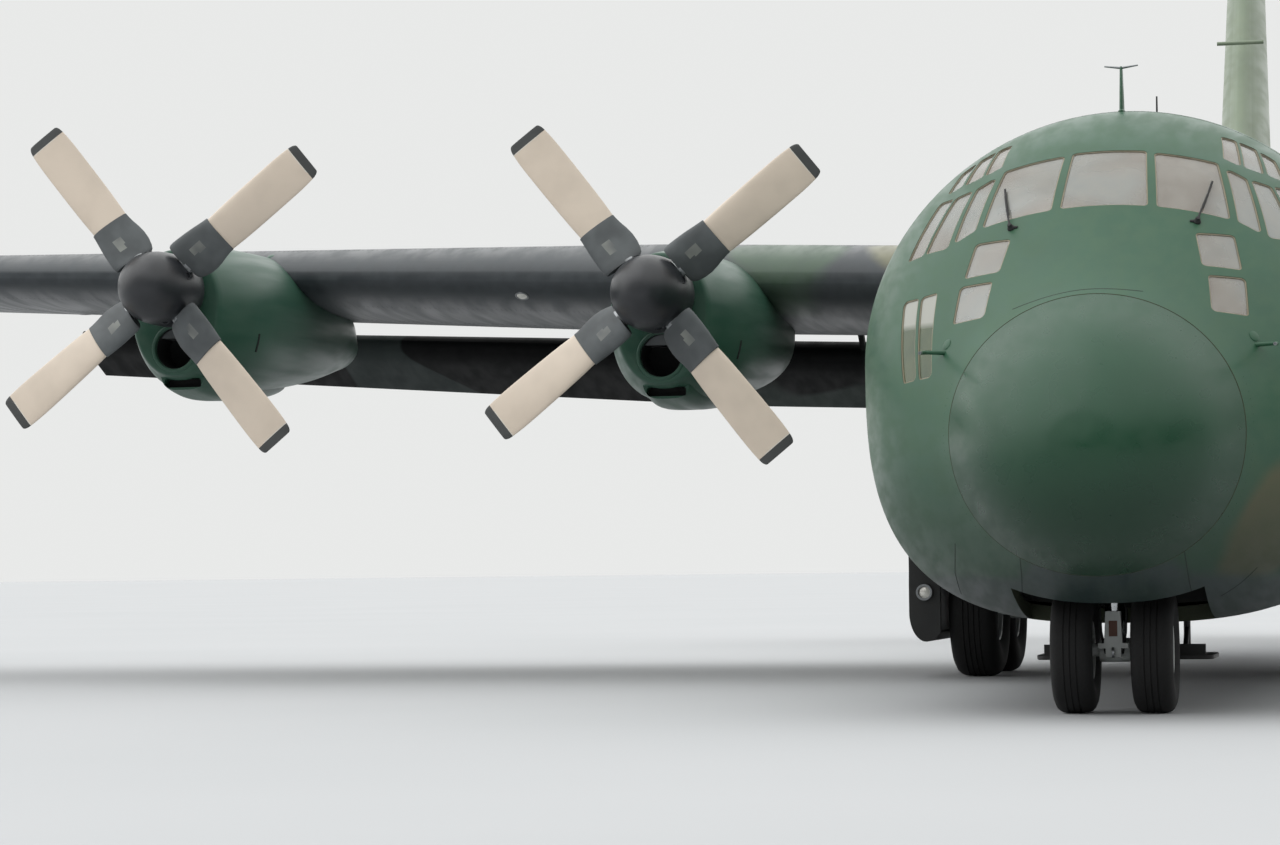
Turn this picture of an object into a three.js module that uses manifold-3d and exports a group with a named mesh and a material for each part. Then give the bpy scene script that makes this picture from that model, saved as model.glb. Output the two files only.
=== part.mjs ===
// Four-turboprop high-wing transport aircraft, a 1:2 scale model, parked on its wheels.
// Sizes below are those of the full-size aircraft in millimetres. The finished group is scaled down at the end.
// +X is the left (port) side, +Y runs aft from the nose tip, +Z is up and the ground is z = 0.
import * as THREE from "three";
import { mergeVertices } from "three/addons/utils/BufferGeometryUtils.js";
import Module from "manifold-3d";

const wasm = await Module();
wasm.setup();

// Driving dimensions
const modelScale = 0.5;
const overallLength = 29790;
const halfSpan = 20205;
const seatGap = 0.8;
const moveGap = 12;

// Fuselage outline. Columns: station, half width, top, bottom, height of widest point, squareness below it
const fuselageTable = [
  [0, 20, 2040, 2000, 2020, 2.0],
  [60, 320, 2340, 1700, 2020, 2.0],
  [250, 630, 2660, 1440, 2040, 2.0],
  [550, 890, 2940, 1240, 2080, 2.05],
  [950, 1110, 3200, 1080, 2160, 2.1],
  [1300, 1340, 3460, 960, 2260, 2.2],
  [1700, 1610, 3800, 850, 2420, 2.35],
  [2100, 1820, 4160, 770, 2580, 2.5],
  [2600, 1990, 4540, 710, 2730, 2.75],
  [3200, 2120, 4830, 690, 2820, 2.95],
  [4000, 2180, 4990, 690, 2850, 3.0],
  [5000, 2180, 5010, 690, 2850, 3.0],
  [16400, 2180, 5010, 690, 2850, 3.0],
  [18000, 2140, 5010, 1000, 2950, 3.0],
  [20000, 2050, 5010, 1660, 3200, 2.9],
  [22000, 1800, 5000, 2420, 3600, 2.7],
  [24000, 1450, 4980, 3100, 4000, 2.5],
  [26000, 1050, 4940, 3720, 4300, 2.4],
  [28000, 600, 4880, 4180, 4520, 2.2],
  [29790, 100, 4660, 4540, 4600, 2.0],
];
const radomeEnd = 950;
const noseEnd = 4170;
const cargoEnd = 16360;
const shellWall = 120;
const tailWall = 60;
const radomeWall = 40;

// Cabin and hold
const cargoFloorTop = 1040;
const cargoFloorHalfWidth = 1520;
const deckTop = 2480;
const deckThickness = 60;
const bulkheadStation = 3860;
const bulkheadThickness = 60;

// Wing: straight quarter-chord line, constant chord inboard of the joint, taper outboard
const wingQuarterStation = 11060;
const wingRootChord = 4880;
const wingTipChord = 2490;
const wingJoint = 5590;
const wingRootHeight = 4060;
const wingDihedral = THREE.MathUtils.degToRad(2.2);
const wingIncidence = THREE.MathUtils.degToRad(3);
const wingThicknessRoot = 0.18;
const wingThicknessTip = 0.12;
const wingCamber = 0.02;
const coveStart = 0.75;
const shroudEnd = 0.89;
const shroudThickness = 28;

// Flaps run on circular-arc tracks centred below the wing, and rest partly lowered
const flapRest = THREE.MathUtils.degToRad(28);
const flapTrackRadius = 1321;
const flapTrackLean = THREE.MathUtils.degToRad(16);
const flapArmHalfHeight = 40;
const flapArmHalfWidth = 30;
const flapArmSpan = THREE.MathUtils.degToRad(40);
const flapArmStep = THREE.MathUtils.degToRad(2.9);
const flapArmGap = 1.5;
// Columns: name, inner end, outer end, first track, second track
const flapTable = [
  ["inboard", 2450, 5500, 2900, 4000],
  ["outboard", 5690, 13480, 6600, 12600],
];

// Hinged control surfaces: hinge fraction of the chord
const aileronInner = 13640;
const aileronOuter = 19640;
const aileronHinge = 0.79;
const hingePinRadius = 26;
const hingePinGap = 1.4;
const surfaceEndGap = 36;
const outerFlapEnd = 13560;

// Engines, numbered from the left wing tip. Columns: number, side, propeller station, hub height
const engineTable = [
  [1, 10190, 7620, 4110],
  [2, 4970, 7490, 3890],
  [3, -4970, 7490, 3890],
  [4, -10190, 7620, 4110],
];
// Nacelle outline. Columns: aft of the propeller, half width, top and bottom from the hub, widest point, squareness
const nacelleTable = [
  [420, 480, 440, -870, -100, 2.2],
  [1000, 660, 520, -1000, -150, 2.4],
  [2100, 740, 580, -980, -180, 2.5],
  [3800, 690, 500, -790, -140, 2.4],
  [4700, 540, 240, -650, -160, 2.2],
  [5250, 380, -20, -560, -290, 2.0],
];
const nacelleWall = 40;
// Oil cooler scoop under each nacelle. Columns: aft of the propeller, half width, bottom from the hub
const scoopTable = [
  [640, 250, -1010],
  [1300, 340, -1080],
  [2700, 280, -1000],
];
const scoopTop = -700;
const scoopMouth = { halfWidth: 205, low: -985, high: -890, depth: 260 };
const exhaust = { radius: 190, wall: 25, front: 5190, back: 5400, drop: 290, segments: 12 };
const nacellePoints = 16;
const nacelleInnerPoints = 10;
const intakeRadius = 215;
const intakeDrop = 590;
const propellerRadius = 2057;
const bladeCount = 4;
const bladeAngle = THREE.MathUtils.degToRad(38.5);
const shaftRadius = 110;
const bladeRing = 6;
// Aerials and probes on the nose and the fin, and the taxi lamps on the main gear doors
const probe = { side: 1180, station: 1290, height: 2810, reach: 150, length: 300, radius: 17 };
const mast = { station: 3700, foot: 4850, top: 5330, halfWidth: 14, halfChord: 60, armHalf: 140, armRadius: 16 };
const finAerial = { station: 23500, height: 8650, reach: 330, radius: 28 };
const taxiLamp = { side: 2690, station: 10150, height: 900, radius: 85, depth: 60 };
const gearboxFront = 500;

// Tail surfaces
const finBaseHeight = 4700;
const finTopHeight = 11660;
const finLeadingBase = 21300;
const finLeadingTop = 25800;
const finTrailingBase = 28900;
const finTrailingTop = 27900;
const finThicknessBase = 820;
const finThicknessTop = 420;
const rudderBottom = 4985;
const rudderTop = 11300;
const rudderHingeBottom = 26830;
const rudderHingeTop = 27090;
const tailplaneHalfSpan = 8025;
const tailplaneHeight = 4600;
const tailplaneRootChord = 3050;
const tailplaneTipChord = 1370;
const tailplaneTrailing = 28400;
const tailplaneThickness = 0.12;
const elevatorInner = 1150;
const elevatorOuter = 7900;
const elevatorHinge = 0.66;
const tailSkin = 35;

// Landing gear
const mainWheelStations = [10950, 12500];
const mainWheelSide = 2220;
const mainTyreRadius = 710;
const mainTyreHalfWidth = 255;
const mainRimRadius = 330;
const mainAxleRadius = 60;
const noseWheelStation = 2250;
const noseWheelSide = 310;
const noseTyreRadius = 495;
const noseTyreHalfWidth = 165;
const noseRimRadius = 235;
const noseAxleRadius = 50;
const axleGap = 1.4;
const wheelSegments = 20;
const axleSegments = 20;
const pinSegments = 12;
const wellInner = 1640;
const wellFront = 10050;
const wellBack = 13400;
const wellTop = 1900;
const noseBayHalfWidth = 740;
const noseBayFront = 1620;
const noseBayBack = 3000;

// Materials
const paint = (color, roughness = 0.6) => new THREE.MeshStandardMaterial({ color, roughness, metalness: 0.05 });
const skinGreen = paint(0x46644f);
const bellyGrey = paint(0x4b5a60);
const darkGrey = paint(0x35393b);
const blackRubber = paint(0x161616, 0.9);
const bladeBeige = paint(0xb3a596);
const gearWhite = paint(0xb9bdba, 0.5);
const cabinGrey = paint(0x6d7470, 0.8);
const engineMetal = new THREE.MeshStandardMaterial({ color: 0x77797a, roughness: 0.4, metalness: 0.8 });
const clearGlass = new THREE.MeshStandardMaterial({
  color: 0x9fb0b3, roughness: 0.05, metalness: 0, transparent: true, opacity: 0.4,
});

const aircraft = new THREE.Group();

// Solids

function solidFromArrays(positions, indices) {
  let volume = 0;
  for (let i = 0; i < indices.length; i += 3) {
    const [a, b, c] = [0, 1, 2].map((k) => new THREE.Vector3().fromArray(positions, indices[i + k] * 3));
    volume += a.dot(b.cross(c));
  }
  const triVerts = Uint32Array.from(indices);
  if (volume < 0) {
    for (let i = 0; i < triVerts.length; i += 3) {
      [triVerts[i + 1], triVerts[i + 2]] = [triVerts[i + 2], triVerts[i + 1]];
    }
  }
  return new wasm.Manifold(new wasm.Mesh({
    numProp: 3, vertProperties: Float32Array.from(positions), triVerts,
  }));
}

function solidFromGeometry(geometry) {
  const bare = geometry.clone();
  bare.deleteAttribute("normal");
  bare.deleteAttribute("uv");
  const merged = mergeVertices(bare, 1e-3);
  return solidFromArrays(Array.from(merged.attributes.position.array), Array.from(merged.index.array));
}

// A closed skin through sections that all have the same number of points, with a fan over each end
function loft(sections) {
  const count = sections[0].length;
  const positions = sections.flat(2);
  const indices = [];
  for (let i = 0; i < sections.length - 1; i += 1) {
    for (let j = 0; j < count; j += 1) {
      const k = (j + 1) % count;
      const [a, b, c, d] = [i * count + j, i * count + k, (i + 1) * count + k, (i + 1) * count + j];
      indices.push(a, b, c, a, c, d);
    }
  }
  for (const [start, flip] of [[0, true], [(sections.length - 1) * count, false]]) {
    const ring = sections[start / count];
    const flat = ring.map((point) => new THREE.Vector3(...point));
    const contour = flattenRing(flat);
    for (const face of THREE.ShapeUtils.triangulateShape(contour, [])) {
      const [a, b, c] = face.map((index) => index + start);
      indices.push(...(flip ? [a, c, b] : [a, b, c]));
    }
  }
  return solidFromArrays(positions, orientCaps(positions, indices, count, sections.length));
}

// The end rings are flat, so two of their axes are enough to triangulate them
function flattenRing(points) {
  const normal = new THREE.Vector3();
  points.forEach((point, index) => {
    const next = points[(index + 1) % points.length];
    normal.x += (point.y - next.y) * (point.z + next.z);
    normal.y += (point.z - next.z) * (point.x + next.x);
    normal.z += (point.x - next.x) * (point.y + next.y);
  });
  const size = normal.clone().set(Math.abs(normal.x), Math.abs(normal.y), Math.abs(normal.z));
  if (size.x >= size.y && size.x >= size.z) return points.map((point) => new THREE.Vector2(point.y, point.z));
  if (size.y >= size.z) return points.map((point) => new THREE.Vector2(point.x, point.z));
  return points.map((point) => new THREE.Vector2(point.x, point.y));
}

// Each cap triangle is turned so that its edges run against those of the side faces
function orientCaps(positions, indices, count, rings) {
  const sideFaces = (rings - 1) * count * 2;
  const edges = new Set();
  for (let i = 0; i < sideFaces * 3; i += 3) {
    for (let k = 0; k < 3; k += 1) edges.add(`${indices[i + k]}_${indices[i + ((k + 1) % 3)]}`);
  }
  const caps = [];
  for (let i = sideFaces * 3; i < indices.length; i += 3) caps.push(indices.slice(i, i + 3));
  const rim = (cap) => [0, 1, 2].some((k) => edges.has(`${cap[k]}_${cap[(k + 1) % 3]}`));
  for (const half of [caps.slice(0, caps.length / 2), caps.slice(caps.length / 2)]) {
    if (half.some(rim)) half.forEach((cap) => cap.reverse());
  }
  return indices.slice(0, sideFaces * 3).concat(caps.flat());
}

const union = (...parts) => parts.flat().reduce((whole, part) => whole.add(part));
const mirror = (solid) => solid.mirror([1, 0, 0]);

// Cuts can leave slivers that touch nothing, so only the main body stays
function mainBody(solid) {
  return solid.decompose().sort((a, b) => b.volume() - a.volume())[0];
}

function box(x, y, z) {
  const geometry = new THREE.BoxGeometry(x[1] - x[0], y[1] - y[0], z[1] - z[0]);
  geometry.translate((x[0] + x[1]) / 2, (y[0] + y[1]) / 2, (z[0] + z[1]) / 2);
  return solidFromGeometry(geometry);
}

// A round bar between two points, with one corner of its section straight down where it lies level
function bar(from, to, radius, segments = axleSegments, endRadius = radius) {
  const start = new THREE.Vector3(...from);
  const end = new THREE.Vector3(...to);
  const direction = end.clone().sub(start);
  const geometry = new THREE.CylinderGeometry(endRadius, radius, direction.length(), segments);
  geometry.applyQuaternion(new THREE.Quaternion().setFromUnitVectors(
    new THREE.Vector3(0, 1, 0), direction.clone().normalize(),
  ));
  const middle = start.add(end).multiplyScalar(0.5);
  geometry.translate(middle.x, middle.y, middle.z);
  return solidFromGeometry(geometry);
}

// A turned body about an axis through the given centre. The profile lists radius and distance along the axis
function turned(profile, axis, centre, segments) {
  const geometry = new THREE.LatheGeometry(profile.map(([r, along]) => new THREE.Vector2(r, along)), segments);
  geometry.applyQuaternion(new THREE.Quaternion().setFromUnitVectors(
    new THREE.Vector3(0, 1, 0), new THREE.Vector3(...axis),
  ));
  geometry.translate(...centre);
  return solidFromGeometry(geometry);
}

// A prism from a flat outline: plan outlines (x, y) rise along z, side outlines (y, z) run along x
function planPrism(outline, bottom, top) {
  return loft([bottom, top].map((z) => outline.map(([x, y]) => [x, y, z])));
}

function sidePrism(outline, from, to) {
  return loft([from, to].map((x) => outline.map(([y, z]) => [x, y, z])));
}

// Cuts leave some edges far shorter than any real detail. Their ends are merged and the flat triangles dropped
function dropShortEdges(positions, indices, shortest = 0.04) {
  const target = Array.from({ length: positions.length / 3 }, (_, index) => index);
  const root = (index) => (target[index] === index ? index : root(target[index]));
  const point = (index) => new THREE.Vector3().fromArray(positions, index * 3);
  for (let i = 0; i < indices.length; i += 3) {
    for (let k = 0; k < 3; k += 1) {
      const [a, b] = [root(indices[i + k]), root(indices[i + ((k + 1) % 3)])];
      if (a !== b && point(a).distanceTo(point(b)) < shortest) target[b] = a;
    }
  }
  const kept = [];
  for (let i = 0; i < indices.length; i += 3) {
    const face = [0, 1, 2].map((k) => root(indices[i + k]));
    if (new Set(face).size === 3) kept.push(...face);
  }
  return kept;
}

function addNode(name, solid, material) {
  const mesh = solid.getMesh();
  const geometry = new THREE.BufferGeometry();
  geometry.setAttribute("position", new THREE.BufferAttribute(Float32Array.from(mesh.vertProperties), 3));
  geometry.setIndex(dropShortEdges(mesh.vertProperties, Array.from(mesh.triVerts)));
  geometry.computeVertexNormals();
  const node = new THREE.Mesh(geometry, material);
  node.name = name;
  aircraft.add(node);
  return node;
}

// Fuselage

// An oval section: an ellipse above the widest point and a squarer curve below it
function ovalSection([station, halfWidth, top, bottom, widest, squareness], inset, points) {
  const ring = [];
  for (let i = 0; i < points; i += 1) {
    const angle = (i / points) * Math.PI * 2;
    const [c, s] = [Math.cos(angle), Math.sin(angle)];
    const power = s >= 0 ? 1 : 2 / squareness;
    const x = Math.sign(c) * Math.abs(c) ** power * (halfWidth - inset);
    const z = s >= 0 ? (top - inset - widest) * s : -((widest - bottom - inset) * Math.abs(s) ** power);
    ring.push([x, station, widest + z]);
  }
  return ring;
}

// The outer surface has more facets than the lining inside the wall
const outerPoints = 32;
const innerPoints = 20;

// Every hull surface is cut from one loft per inset, so that neighbouring pieces share their facets
const hullLofts = new Map();

function hull(from, to, inset) {
  if (!hullLofts.has(inset)) {
    const points = inset > 0 ? innerPoints : outerPoints;
    const rows = fuselageTable.filter((row) => inset <= 0 || (row[0] > 0 && row[1] > 2 * inset));
    hullLofts.set(inset, loft(rows.map((row) => ovalSection(row, inset, points))));
  }
  return hullLofts.get(inset).intersect(box([-3000, 3000], [from, to], [0, 6000]));
}

function hullShell(from, to, wall) {
  return hull(from, to, 0).subtract(hull(from - 5, to + 5, wall));
}

// What fits inside the shell with the seating gap
const insideHull = (from, to) => hull(from, to, shellWall + seatGap);

// Window panes on the right side, with the outline corners at the outer surface
// Columns: name, then corners as side, station, height
const paneTable = [
  ["quarter", [410, 1900, 3950], [350, 2500, 4440], [850, 2570, 4345], [970, 2010, 3825]],
  ["side_front", [1020, 2030, 3815], [900, 2550, 4300], [1070, 2540, 4195], [1205, 2050, 3705]],
  ["side_middle", [1250, 2060, 3680], [1100, 2550, 4195], [1260, 2630, 4150], [1450, 2240, 3650]],
  ["side_rear", [1465, 2250, 3640], [1275, 2650, 4150], [1400, 2800, 4120], [1620, 2420, 3610]],
  ["roof_front", [880, 2670, 4390], [840, 3110, 4620], [960, 3170, 4590], [1025, 2660, 4310]],
  ["roof_middle", [1040, 2680, 4310], [980, 3160, 4580], [1120, 3190, 4520], [1195, 2740, 4250]],
  ["roof_rear", [1215, 2770, 4240], [1140, 3180, 4500], [1270, 3180, 4420], [1345, 2850, 4190]],
  ["chin_upper", [710, 1760, 3715], [1000, 1900, 3690], [1070, 1655, 3400], [770, 1505, 3430]],
  ["chin_lower", [820, 1450, 3360], [1095, 1620, 3335], [1125, 1390, 3025], [860, 1180, 3065]],
];
const centrePane = [[-345, 1900, 3950], [-295, 2520, 4450], [295, 2520, 4450], [345, 1900, 3950]];
const rightSidePanes = [
  [[1610, 2060, 3270], [1465, 1900, 3285], [1430, 1480, 2610], [1550, 1650, 2590]],
  [[1445, 1880, 3290], [1290, 1760, 3310], [1280, 1310, 2620], [1405, 1450, 2610]],
];

// A cutter through the wall: the pane's outline pushed out and in along its own normal
function paneCutter(corners, out = 260, inward = 420) {
  const points = corners.map((corner) => new THREE.Vector3(...corner));
  const normal = points[2].clone().sub(points[0]).cross(points[3].clone().sub(points[1])).normalize();
  const centre = points.reduce((sum, point) => sum.add(point), new THREE.Vector3()).multiplyScalar(0.25);
  if (normal.dot(centre.clone().sub(new THREE.Vector3(0, centre.y, 2600))) < 0) normal.negate();
  const ring = (distance) => points.map((point) => point.clone().addScaledVector(normal, distance).toArray());
  const outer = ring(out);
  const inner = ring(-inward);
  const positions = [...outer, ...inner].flat();
  const indices = [];
  for (let i = 0; i < 4; i += 1) {
    const j = (i + 1) % 4;
    indices.push(i, j, j + 4, i, j + 4, i + 4);
  }
  indices.push(0, 2, 1, 0, 3, 2, 4, 5, 6, 4, 6, 7);
  return solidFromArrays(positions, indices);
}

const mirrorCorners = (corners) => corners.map(([x, y, z]) => [-x, y, z]);

function windowCutters() {
  const cutters = [paneCutter(centrePane)];
  for (const [, ...corners] of paneTable) {
    cutters.push(paneCutter(corners), paneCutter(mirrorCorners(corners)));
  }
  rightSidePanes.forEach((corners) => cutters.push(paneCutter(mirrorCorners(corners))));
  return union(cutters);
}

// Doors are the wall's own pieces, cut out and trimmed by the moving gap
const crewDoor = { front: 2760, back: 3560, sill: 960, top: 2700, inner: 1000 };
const paraDoor = { front: 16950, back: 17870, sill: 1300, top: 3150, inner: 1540 };
const rampOutline = { front: 16420, back: 19700, halfWidth: 1500 };
const cargoDoorOutline = { back: 22900, backHalfWidth: 1150 };

const sideDoorBox = (door, grow, side) => {
  const inner = door.inner - grow;
  const x = side > 0 ? [inner, 2600] : [-2600, -inner];
  return box(x, [door.front - grow, door.back + grow], [door.sill - grow, door.top + grow]);
};

const rampPlan = (grow) => [
  [-rampOutline.halfWidth - grow, rampOutline.front - grow], [rampOutline.halfWidth + grow, rampOutline.front - grow],
  [rampOutline.halfWidth + grow, rampOutline.back], [-rampOutline.halfWidth - grow, rampOutline.back],
];
const cargoDoorPlan = (grow) => [
  [-rampOutline.halfWidth - grow, rampOutline.back], [-rampOutline.halfWidth - grow, rampOutline.back - 900],
  [rampOutline.halfWidth + grow, rampOutline.back - 900], [rampOutline.halfWidth + grow, rampOutline.back],
  [cargoDoorOutline.backHalfWidth + grow, cargoDoorOutline.back + grow],
  [-cargoDoorOutline.backHalfWidth - grow, cargoDoorOutline.back + grow],
];
const rearOpeningTop = 3350;
// The ramp and the cargo door part along a face that leans forward, so that the door can swing up past the ramp
const rearSplitLean = THREE.MathUtils.degToRad(26);
// The ramp is a box between the belly and its flat floor, which rises to this height at its aft end
const rampFloorBack = 1980;

// Door hinges: a pin between two barrels on the frame, and the door's eye around it.
// Columns: frame's barrel ends and the eye's ends along the axis from the middle of the hinge
const hingeBarrelRadius = 22;
const doorPinRadius = 10;
const hingeFrameSpans = [[-64, -22], [22, 64]];
const hingeEyeSpan = [-20, 20];
const hingeStrapThickness = 9;
const barrelSegments = 8;

// A flat strap from the hinge axis to a foot in the wall, as wide as the barrel it carries
function strap(axis, centre, foot, span) {
  const along = new THREE.Vector3(...axis);
  const [start, end] = [new THREE.Vector3(...centre), new THREE.Vector3(...foot)];
  const across = end.clone().sub(start).cross(along).normalize().multiplyScalar(hingeStrapThickness);
  const section = (point) => [[span[0], -1], [span[1], -1], [span[1], 1], [span[0], 1]]
    .map(([distance, sign]) => point.clone().addScaledVector(along, distance).addScaledVector(across, sign).toArray());
  return loft([section(start), section(end)]);
}

function hinge(axis, centre, frameFoot, doorFoot) {
  const at = (distance) => centre.map((value, index) => value + axis[index] * distance);
  const barrel = (span, radius) => bar(at(span[0]), at(span[1]), radius, barrelSegments);
  const pin = barrel([hingeFrameSpans[0][0], hingeFrameSpans[1][1]], doorPinRadius);
  const frame = union(pin, hingeFrameSpans.flatMap((span) => [
    barrel(span, hingeBarrelRadius), strap(axis, centre, frameFoot, span),
  ]));
  const eye = barrel(hingeEyeSpan, hingeBarrelRadius).add(strap(axis, centre, doorFoot, hingeEyeSpan));
  const bore = barrel([hingeEyeSpan[0] - 5, hingeEyeSpan[1] + 5], doorPinRadius + hingePinGap);
  return { frame, eye: eye.subtract(bore) };
}

// Columns: station, side of the frame's foot, side of the door's foot
const crewHinges = [[2930, 1210, 1400], [3390, 1310, 1480]].map(([y, frameSide, doorSide]) => (
  hinge([0, 1, 0], [1524, y, 944], [frameSide, y, 905], [doorSide, y, 1015])
));
const rampHinges = [-520, 520].map((x) => hinge([1, 0, 0], [x, 16414, 664], [x, 16385, 745], [x, 16450, 740]));
const cargoHinges = [-560, 560].map((x) => hinge([1, 0, 0], [x, 22906, 3050], [x, 23000, 2820], [x, 22830, 2765]));

// Wing

const chordAt = (x) => {
  const out = Math.max(Math.abs(x) - wingJoint, 0) / (halfSpan - wingJoint);
  return wingRootChord + (wingTipChord - wingRootChord) * out;
};
// The thickness itself tapers evenly, so that every section lies on one ruled skin
const thicknessAt = (x) => {
  const out = Math.max(Math.abs(x) - wingJoint, 0) / (halfSpan - wingJoint);
  const [root, tip] = [wingThicknessRoot * wingRootChord, wingThicknessTip * wingTipChord];
  return (root + (tip - root) * out) / chordAt(x);
};

// Half thickness of a four-digit aerofoil, as a share of the chord
const halfThickness = (t, thickness) => 5 * thickness
  * (0.2969 * Math.sqrt(t) - 0.126 * t - 0.3516 * t ** 2 + 0.2843 * t ** 3 - 0.1036 * t ** 4);

// A point on the wing: side, share of the chord, +1 upper or -1 lower surface, and distance off the surface
function wingPoint(x, t, surface, offset = 0) {
  const chord = chordAt(x);
  const camber = wingCamber * (t < 0.4 ? (0.8 * t - t * t) / 0.16 : (0.2 + 0.8 * t - t * t) / 0.36);
  const along = t * chord;
  const up = (camber + surface * halfThickness(t, thicknessAt(x))) * chord + surface * offset;
  return [
    x,
    wingQuarterStation - chord / 4 + along * Math.cos(wingIncidence) + up * Math.sin(wingIncidence),
    wingRootHeight + Math.tan(wingDihedral) * Math.abs(x) - along * Math.sin(wingIncidence) + up * Math.cos(wingIncidence),
  ];
}

const forwardShares = [0.56, 0.4, 0.26, 0.14, 0.06, 0.015];
const aftShares = [shroudEnd, coveStart];

// The fixed wing ends at a cove. Over the flaps its upper skin runs on as a thin shroud
function wingSection(x, rear, shroud, grow = 0) {
  const rearShare = rear + (grow > 0 ? grow / chordAt(x) : 0);
  const ring = [];
  if (shroud) {
    ring.push(wingPoint(x, rearShare, 1, -shroudThickness - grow));
    ring.push(wingPoint(x, shroudEnd + (grow > 0 ? grow / chordAt(x) : 0), 1, -shroudThickness - grow));
    ring.push(wingPoint(x, shroudEnd + (grow > 0 ? grow / chordAt(x) : 0), 1, grow));
  }
  ring.push(wingPoint(x, rearShare, 1, grow));
  const shares = [...aftShares.filter((t) => t < rear), ...forwardShares];
  shares.forEach((t) => ring.push(wingPoint(x, t, 1, grow)));
  const [nx, ny, nz] = wingPoint(x, 0, 1, 0);
  ring.push([nx, ny - grow, nz]);
  [...shares].reverse().forEach((t) => ring.push(wingPoint(x, t, -1, grow)));
  ring.push(wingPoint(x, rearShare, -1, grow));
  return ring;
}

const wingLoft = (sides, rear, shroud, grow = 0) => loft(sides.map((x) => wingSection(x, rear, shroud, grow)));

// Flaps are drawn retracted and then turned down about the centre of their tracks
function flapSection(x) {
  const front = coveStart + 16 / chordAt(x);
  const clearance = shroudThickness + 16;
  const nose = front + 0.022;
  const chordLine = (t) => {
    const [a, b] = [wingPoint(x, t, 1), wingPoint(x, t, -1)];
    return [x, (a[1] + b[1]) / 2, (a[2] + b[2]) / 2 - clearance / 2];
  };
  return [
    wingPoint(x, 0.999, 1), wingPoint(x, shroudEnd + 0.012, 1, -6), wingPoint(x, shroudEnd, 1, -clearance),
    wingPoint(x, nose + 0.03, 1, -clearance), wingPoint(x, nose, 1, -clearance - 22), chordLine(front),
    wingPoint(x, nose, -1, -40), wingPoint(x, nose + 0.03, -1, -6), wingPoint(x, 0.9, -1), wingPoint(x, 0.999, -1),
  ];
}

function flapTrackAxis(inner, outer) {
  return [inner, outer].map((x) => {
    const [a, b] = [wingPoint(x, coveStart, 1), wingPoint(x, coveStart, -1)];
    return new THREE.Vector3(
      x,
      (a[1] + b[1]) / 2 - flapTrackRadius * Math.sin(flapTrackLean),
      (a[2] + b[2]) / 2 - flapTrackRadius * Math.cos(flapTrackLean),
    );
  });
}

// An arc-shaped arm about the track axis, in a plane across it
function trackArm(axisPoints, side, fromAngle, toAngle, gap, step = flapArmStep) {
  const [inner, outer] = axisPoints;
  const direction = outer.clone().sub(inner).normalize();
  const centre = inner.clone().lerp(outer, (side - inner.x) / (outer.x - inner.x));
  const up = new THREE.Vector3(0, Math.sin(flapTrackLean), Math.cos(flapTrackLean));
  up.addScaledVector(direction, -up.dot(direction)).normalize();
  const aft = new THREE.Vector3().crossVectors(up, direction);
  if (aft.y < 0) aft.negate();
  const steps = Math.round((toAngle - fromAngle) / step);
  const sections = [];
  for (let i = 0; i <= steps; i += 1) {
    const angle = fromAngle + ((toAngle - fromAngle) * i) / steps;
    const radial = up.clone().multiplyScalar(Math.cos(angle)).addScaledVector(aft, Math.sin(angle));
    const corner = (r, w) => centre.clone().addScaledVector(radial, r).addScaledVector(direction, w).toArray();
    const [low, high] = [flapTrackRadius - flapArmHalfHeight - gap, flapTrackRadius + flapArmHalfHeight + gap];
    const wide = flapArmHalfWidth + gap;
    sections.push([corner(low, -wide), corner(high, -wide), corner(high, wide), corner(low, wide)]);
  }
  return loft(sections);
}

function rotateAbout(solid, axisPoints, angle) {
  const [inner, outer] = axisPoints;
  const direction = outer.clone().sub(inner).normalize();
  const matrix = new THREE.Matrix4().makeTranslation(inner.x, inner.y, inner.z)
    .multiply(new THREE.Matrix4().makeRotationAxis(direction, angle))
    .multiply(new THREE.Matrix4().makeTranslation(-inner.x, -inner.y, -inner.z));
  return solid.transform(matrix.elements);
}

// A control surface's section: a round nose about the hinge and the rest of the aerofoil behind it
function noseArc(centre, radius, upAxis, aftAxis) {
  const points = [];
  for (let i = 0; i <= 8; i += 1) {
    const angle = Math.PI / 2 + (i / 8) * Math.PI;
    points.push(centre.clone().addScaledVector(upAxis, Math.sin(angle) * radius)
      .addScaledVector(aftAxis, Math.cos(angle) * radius).toArray());
  }
  return points;
}

const wingUp = new THREE.Vector3(0, Math.sin(wingIncidence), Math.cos(wingIncidence));
const wingAft = new THREE.Vector3(0, Math.cos(wingIncidence), -Math.sin(wingIncidence));

function aileronHingePoint(x) {
  const [a, b] = [wingPoint(x, aileronHinge, 1), wingPoint(x, aileronHinge, -1)];
  return new THREE.Vector3(x, (a[1] + b[1]) / 2, (a[2] + b[2]) / 2);
}
const aileronNoseRadius = (x) => halfThickness(aileronHinge, thicknessAt(x)) * chordAt(x);

function aileronSection(x) {
  return [
    wingPoint(x, 0.999, 1), wingPoint(x, 0.9, 1),
    ...noseArc(aileronHingePoint(x), aileronNoseRadius(x), wingUp, wingAft),
    wingPoint(x, 0.9, -1), wingPoint(x, 0.999, -1),
  ];
}
const aileronCove = (x) => aileronHinge - (aileronNoseRadius(x) + moveGap) / chordAt(x);

// The whole outer wing before its bays are cut, or grown as a cutter
const outerWingBlank = (grow) => wingLoft([wingJoint + seatGap, halfSpan - 90, halfSpan], 0.995, false, grow);

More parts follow.
